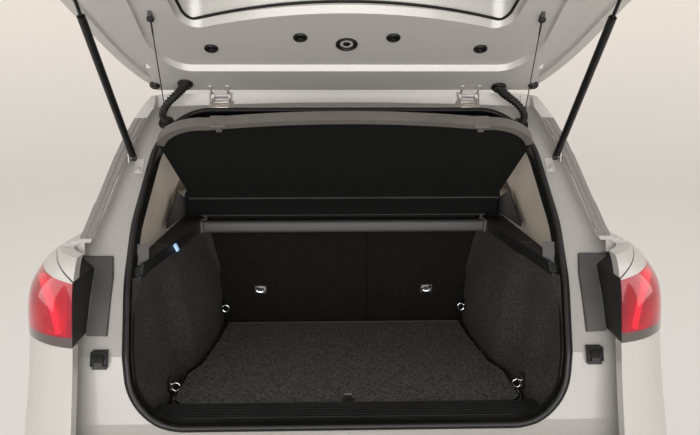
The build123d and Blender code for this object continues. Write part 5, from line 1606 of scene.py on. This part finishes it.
class RearSectionLook(bpy.types.PropertyGroup):
    """Colours of the paint."""
    paint: FloatVectorProperty(name="Paint", description="Outer paint between its flakes", subtype="COLOR",
                               min=0, max=1, default=colour("#A8A5A1")[:3])
    paint_flake: FloatVectorProperty(name="Paint flakes", description="Flakes in the outer paint", subtype="COLOR",
                                     min=0, max=1, default=colour("#C4C1BD")[:3])
    inner: FloatVectorProperty(name="Inner paint", description="Paint of the inner panels between its flakes",
                               subtype="COLOR", min=0, max=1, default=colour("#8F8C88")[:3])
    inner_flake: FloatVectorProperty(name="Inner flakes", description="Flakes in the paint of the inner panels",
                                     subtype="COLOR", min=0, max=1, default=colour("#A8A5A1")[:3])


class RearSectionSizes(bpy.types.PropertyGroup):
    """Sizes of the pieces that stand on the part."""
    cord: FloatProperty(name="Cords", description="Diameter of the shelf's lifting cords", subtype="DISTANCE",
                        min=0.001, max=0.006, default=0.0032)
    swell: FloatProperty(name="Lens swell", description="How far the lamp covers stand out at their crest",
                         subtype="DISTANCE", min=0, max=0.012, default=0.011)
    seam: FloatProperty(name="Seat seams", description="Depth of the sewn channels in the backrests",
                        subtype="DISTANCE", min=0, max=0.012, default=0.0065)
    groove: FloatProperty(name="Tyre grooves", description="Depth of the grooves round the tread",
                          subtype="DISTANCE", min=0.001, max=0.012, default=0.008)
    sipes: IntProperty(name="Tyre sipes", description="Rows of sipes round each tyre", min=24, max=160, default=84)


class RearSectionStudio(bpy.types.PropertyGroup):
    """Camera and stage."""
    eye: FloatVectorProperty(name="Camera", description="Where the camera stands", subtype="TRANSLATION",
                             unit="LENGTH", default=(-0.0465, -2.95, 1.13))
    pitch: FloatProperty(name="Pitch", description="Tilt of the camera over the level, downwards below 0",
                         subtype="ANGLE", default=math.radians(-11.2))
    heading: FloatProperty(name="Heading", description="Turn of the camera to the left of straight ahead",
                           subtype="ANGLE", default=math.radians(-1.55))
    lens: FloatProperty(name="Focal length", description="Focal length on a 36 mm sensor",
                        subtype="DISTANCE_CAMERA", min=10, default=36.0)
    wall_distance: FloatProperty(name="Wall distance", description="Radius of the round backdrop",
                                 subtype="DISTANCE", min=8, default=12.0)
    wall_height: FloatProperty(name="Wall height", description="Height of the backdrop over the floor",
                               subtype="DISTANCE", min=4, default=7.0)
    wall_bend: FloatProperty(name="Wall bend", description="Radius of the bend from the floor into the wall",
                             subtype="DISTANCE", min=0.5, default=3.5)


class REAR_OT_materials(bpy.types.Operator):
    """Give every node of the section its finish"""
    bl_idname = "rear.materials"
    bl_label = "Materials"

    def execute(self, context):
        MATERIALS.update(build_materials(context.scene.rear_look))
        dress_nodes(MATERIALS)
        return {"FINISHED"}


class REAR_OT_cords(bpy.types.Operator):
    """Add the shelf's lifting cords and the wiring boots"""
    bl_idname = "rear.cords"
    bl_label = "Cords and boots"

    def execute(self, context):
        build_cords(context.scene.rear_sizes)
        build_boots()
        return {"FINISHED"}


class REAR_OT_seals(bpy.types.Operator):
    """Add the seals, gaskets and the glass border"""
    bl_idname = "rear.seals"
    bl_label = "Seals"

    def execute(self, context):
        build_seals()
        build_glazing()
        return {"FINISHED"}


class REAR_OT_luggage(bpy.types.Operator):
    """Fit out the luggage compartment and its shelf"""
    bl_idname = "rear.luggage"
    bl_label = "Luggage compartment"

    def execute(self, context):
        build_shelf()
        build_shelf_beam()
        build_side_linings()
        build_luggage_fittings()
        build_side_details()
        build_tie_downs()
        return {"FINISHED"}


class REAR_OT_seats(bpy.types.Operator):
    """Upholster the backrests and headrests"""
    bl_idname = "rear.seats"
    bl_label = "Seats"

    def execute(self, context):
        build_seats(context.scene.rear_sizes)
        build_split_filler()
        return {"FINISHED"}


class REAR_OT_tailgate(bpy.types.Operator):
    """Add the tailgate's rubbers, hinges, wiper and lamps"""
    bl_idname = "rear.tailgate"
    bl_label = "Tailgate"

    def execute(self, context):
        build_gate_rubbers()
        build_hinges()
        build_gate_lamps()
        build_gate_outside()
        return {"FINISHED"}


class REAR_OT_body(bpy.types.Operator):
    """Add the lamps, stops, bumper details and the exhaust"""
    bl_idname = "rear.body"
    bl_label = "Body"

    def execute(self, context):
        build_lamps()
        build_lenses(context.scene.rear_sizes)
        build_lamp_covers()
        build_channel_details()
        build_stops()
        build_bumper_details()
        build_underbody()
        return {"FINISHED"}


class REAR_OT_wheels(bpy.types.Operator):
    """Build the tyres, wheels and brakes"""
    bl_idname = "rear.wheels"
    bl_label = "Wheels"

    def execute(self, context):
        build_wheels(context.scene.rear_sizes)
        return {"FINISHED"}


class REAR_OT_stage(bpy.types.Operator):
    """Set up the floor, the backdrop and the lights"""
    bl_idname = "rear.stage"
    bl_label = "Stage"

    def execute(self, context):
        build_backdrop(context.scene.rear_studio)
        build_lights()
        return {"FINISHED"}


class REAR_OT_camera(bpy.types.Operator):
    """Set up the camera"""
    bl_idname = "rear.camera"
    bl_label = "Camera"

    def execute(self, context):
        build_camera(context.scene, context.scene.rear_studio)
        return {"FINISHED"}


def build_backdrop(studio):
    """Pale round floor that curves up into a wall on every side."""
    far, height, bend = studio.wall_distance, studio.wall_height, studio.wall_bend
    profile = [(0.0, GROUND)]
    for step in range(13):
        angle = math.radians(90 * step / 12)
        profile.append((far - bend + bend * math.sin(angle), GROUND + bend - bend * math.cos(angle)))
    profile.append((far, GROUND + height))
    mesh = bpy.data.meshes.new("backdrop")
    points, faces = lathe(profile, 96)
    mesh.from_pydata(points, [], [face[::-1] for face in faces])
    mesh.polygons.foreach_set("use_smooth", [True] * len(faces))
    obj = bpy.data.objects.new("backdrop", mesh)
    bpy.context.collection.objects.link(obj)
    # matt painted floor and wall, darker on the floor and warmer and paler up the wall as painted light; a faint glow
    # for the camera only
    material, tree, shader, space = new_material("studio_floor", "#E2DDD7", 0.55)
    shader.inputs["Emission Color"].default_value = colour("#F0EBE4")
    rays = add_node(tree, "ShaderNodeLightPath").outputs
    seen = add_node(tree, "ShaderNodeMath", {0: rays["Is Camera Ray"], 1: rays["Is Glossy Ray"]}, operation="ADD")
    seen = add_node(tree, "ShaderNodeMath", {0: seen, 1: rays["Is Transmission Ray"]}, operation="ADD")
    add_node(tree, "ShaderNodeMapRange", {"Value": seen}, shader.inputs["Emission Strength"], To_Max=0.14)
    height = add_node(tree, "ShaderNodeSeparateXYZ", {"Vector": space}).outputs["Z"]
    # darker at the floor, paler and warmer up the wall: painted light
    painted_light_rise = add_node(tree, "ShaderNodeMapRange", {"Value": height}, From_Min=GROUND, From_Max=GROUND + 3)
    add_node(tree, "ShaderNodeValToRGB", {"Fac": painted_light_rise}, shader.inputs["Base Color"], [(0, "#CDCAC7"), (1, "#F4EEE7")])
    patches = add_node(tree, "ShaderNodeTexNoise", {"Vector": space}, Scale=per_metre(500), Detail=4, Roughness=0.6)
    add_node(tree, "ShaderNodeMapRange", {"Value": patches}, shader.inputs["Roughness"], To_Min=0.45, To_Max=0.6)
    set_material(obj, material)


LIGHTS = [
    # name, place, target, width, height, power
    ("roof_softbox", (0.0, -1.6, 4.2), (0.0, -0.9, 0.4), 5.0, 4.0, 15),
    ("camera_softbox", (-0.5, -6.2, 1.7), (0.0, -0.8, 0.7), 5.0, 3.2, 108),
    ("floor_bounce", (0.0, -5.6, -0.35), (0.0, -1.0, 1.2), 5.0, 2.2, 190),
    ("left_softbox", (-4.6, -1.6, 1.6), (-0.4, -0.9, 0.6), 2.6, 2.2, 25),
    ("right_softbox", (4.6, -1.6, 1.6), (0.4, -0.9, 0.6), 2.6, 2.2, 25),
]


def build_lights():
    """Soft rectangular lamps and an even, pale world."""
    for name, spot, target, width, height, power in LIGHTS:
        data = bpy.data.lights.new(name, "AREA")
        data.shape = "RECTANGLE"
        data.size, data.size_y, data.energy = width, height, power
        obj = bpy.data.objects.new(name, data)
        obj.location = spot
        obj.rotation_euler = (Vector(target) - Vector(spot)).to_track_quat("-Z", "Y").to_euler()
        obj.visible_camera = False
        bpy.context.collection.objects.link(obj)
    world = bpy.data.worlds.new("studio")
    world.use_nodes = True
    world.node_tree.nodes["Background"].inputs["Color"].default_value = colour("#E8E6E3")
    world.node_tree.nodes["Background"].inputs["Strength"].default_value = 1.1
    bpy.context.scene.world = world


def build_camera(scene, studio):
    """The camera of the photograph, with plain colours."""
    data = bpy.data.cameras.new("camera")
    data.sensor_width = 36.0
    data.lens = studio.lens
    data.clip_start = 0.05
    camera = bpy.data.objects.new("camera", data)
    camera.location = studio.eye
    camera.rotation_euler = (math.radians(90) + studio.pitch, 0, studio.heading)
    scene.collection.objects.link(camera)
    scene.camera = camera
    scene.view_settings.view_transform = "Standard"


class REAR_PT_panel(bpy.types.Panel):
    """The section's operators and colours"""
    bl_idname = "REAR_PT_panel"
    bl_label = "Crossover rear section"
    bl_space_type = "VIEW_3D"
    bl_region_type = "UI"
    bl_category = "Crossover"

    def draw(self, context):
        for settings in (context.scene.rear_look, context.scene.rear_sizes, context.scene.rear_studio):
            for name in settings.__annotations__:
                self.layout.prop(settings, name)
        for operator in OPERATORS:
            self.layout.operator(operator.bl_idname)


OPERATORS = (REAR_OT_camera, REAR_OT_materials, REAR_OT_cords, REAR_OT_seals, REAR_OT_luggage, REAR_OT_seats,
             REAR_OT_tailgate, REAR_OT_body, REAR_OT_wheels, REAR_OT_stage)
CLASSES = (RearSectionLook, RearSectionSizes, RearSectionStudio, *OPERATORS, REAR_PT_panel)
MATERIALS = {}


def register():
    for cls in CLASSES:
        bpy.utils.register_class(cls)
    bpy.types.Scene.rear_look = PointerProperty(type=RearSectionLook)
    bpy.types.Scene.rear_sizes = PointerProperty(type=RearSectionSizes)
    bpy.types.Scene.rear_studio = PointerProperty(type=RearSectionStudio)


def unregister():
    del bpy.types.Scene.rear_studio
    del bpy.types.Scene.rear_sizes
    del bpy.types.Scene.rear_look
    for cls in reversed(CLASSES):
        bpy.utils.unregister_class(cls)


def main():
    """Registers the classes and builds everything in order."""
    register()
    bpy.ops.rear.camera()
    bpy.ops.rear.materials()
    bpy.ops.rear.cords()
    bpy.ops.rear.seals()
    bpy.ops.rear.luggage()
    bpy.ops.rear.seats()
    bpy.ops.rear.tailgate()
    bpy.ops.rear.body()
    bpy.ops.rear.wheels()
    bpy.ops.rear.stage()


if __name__ == "__main__":
    main()
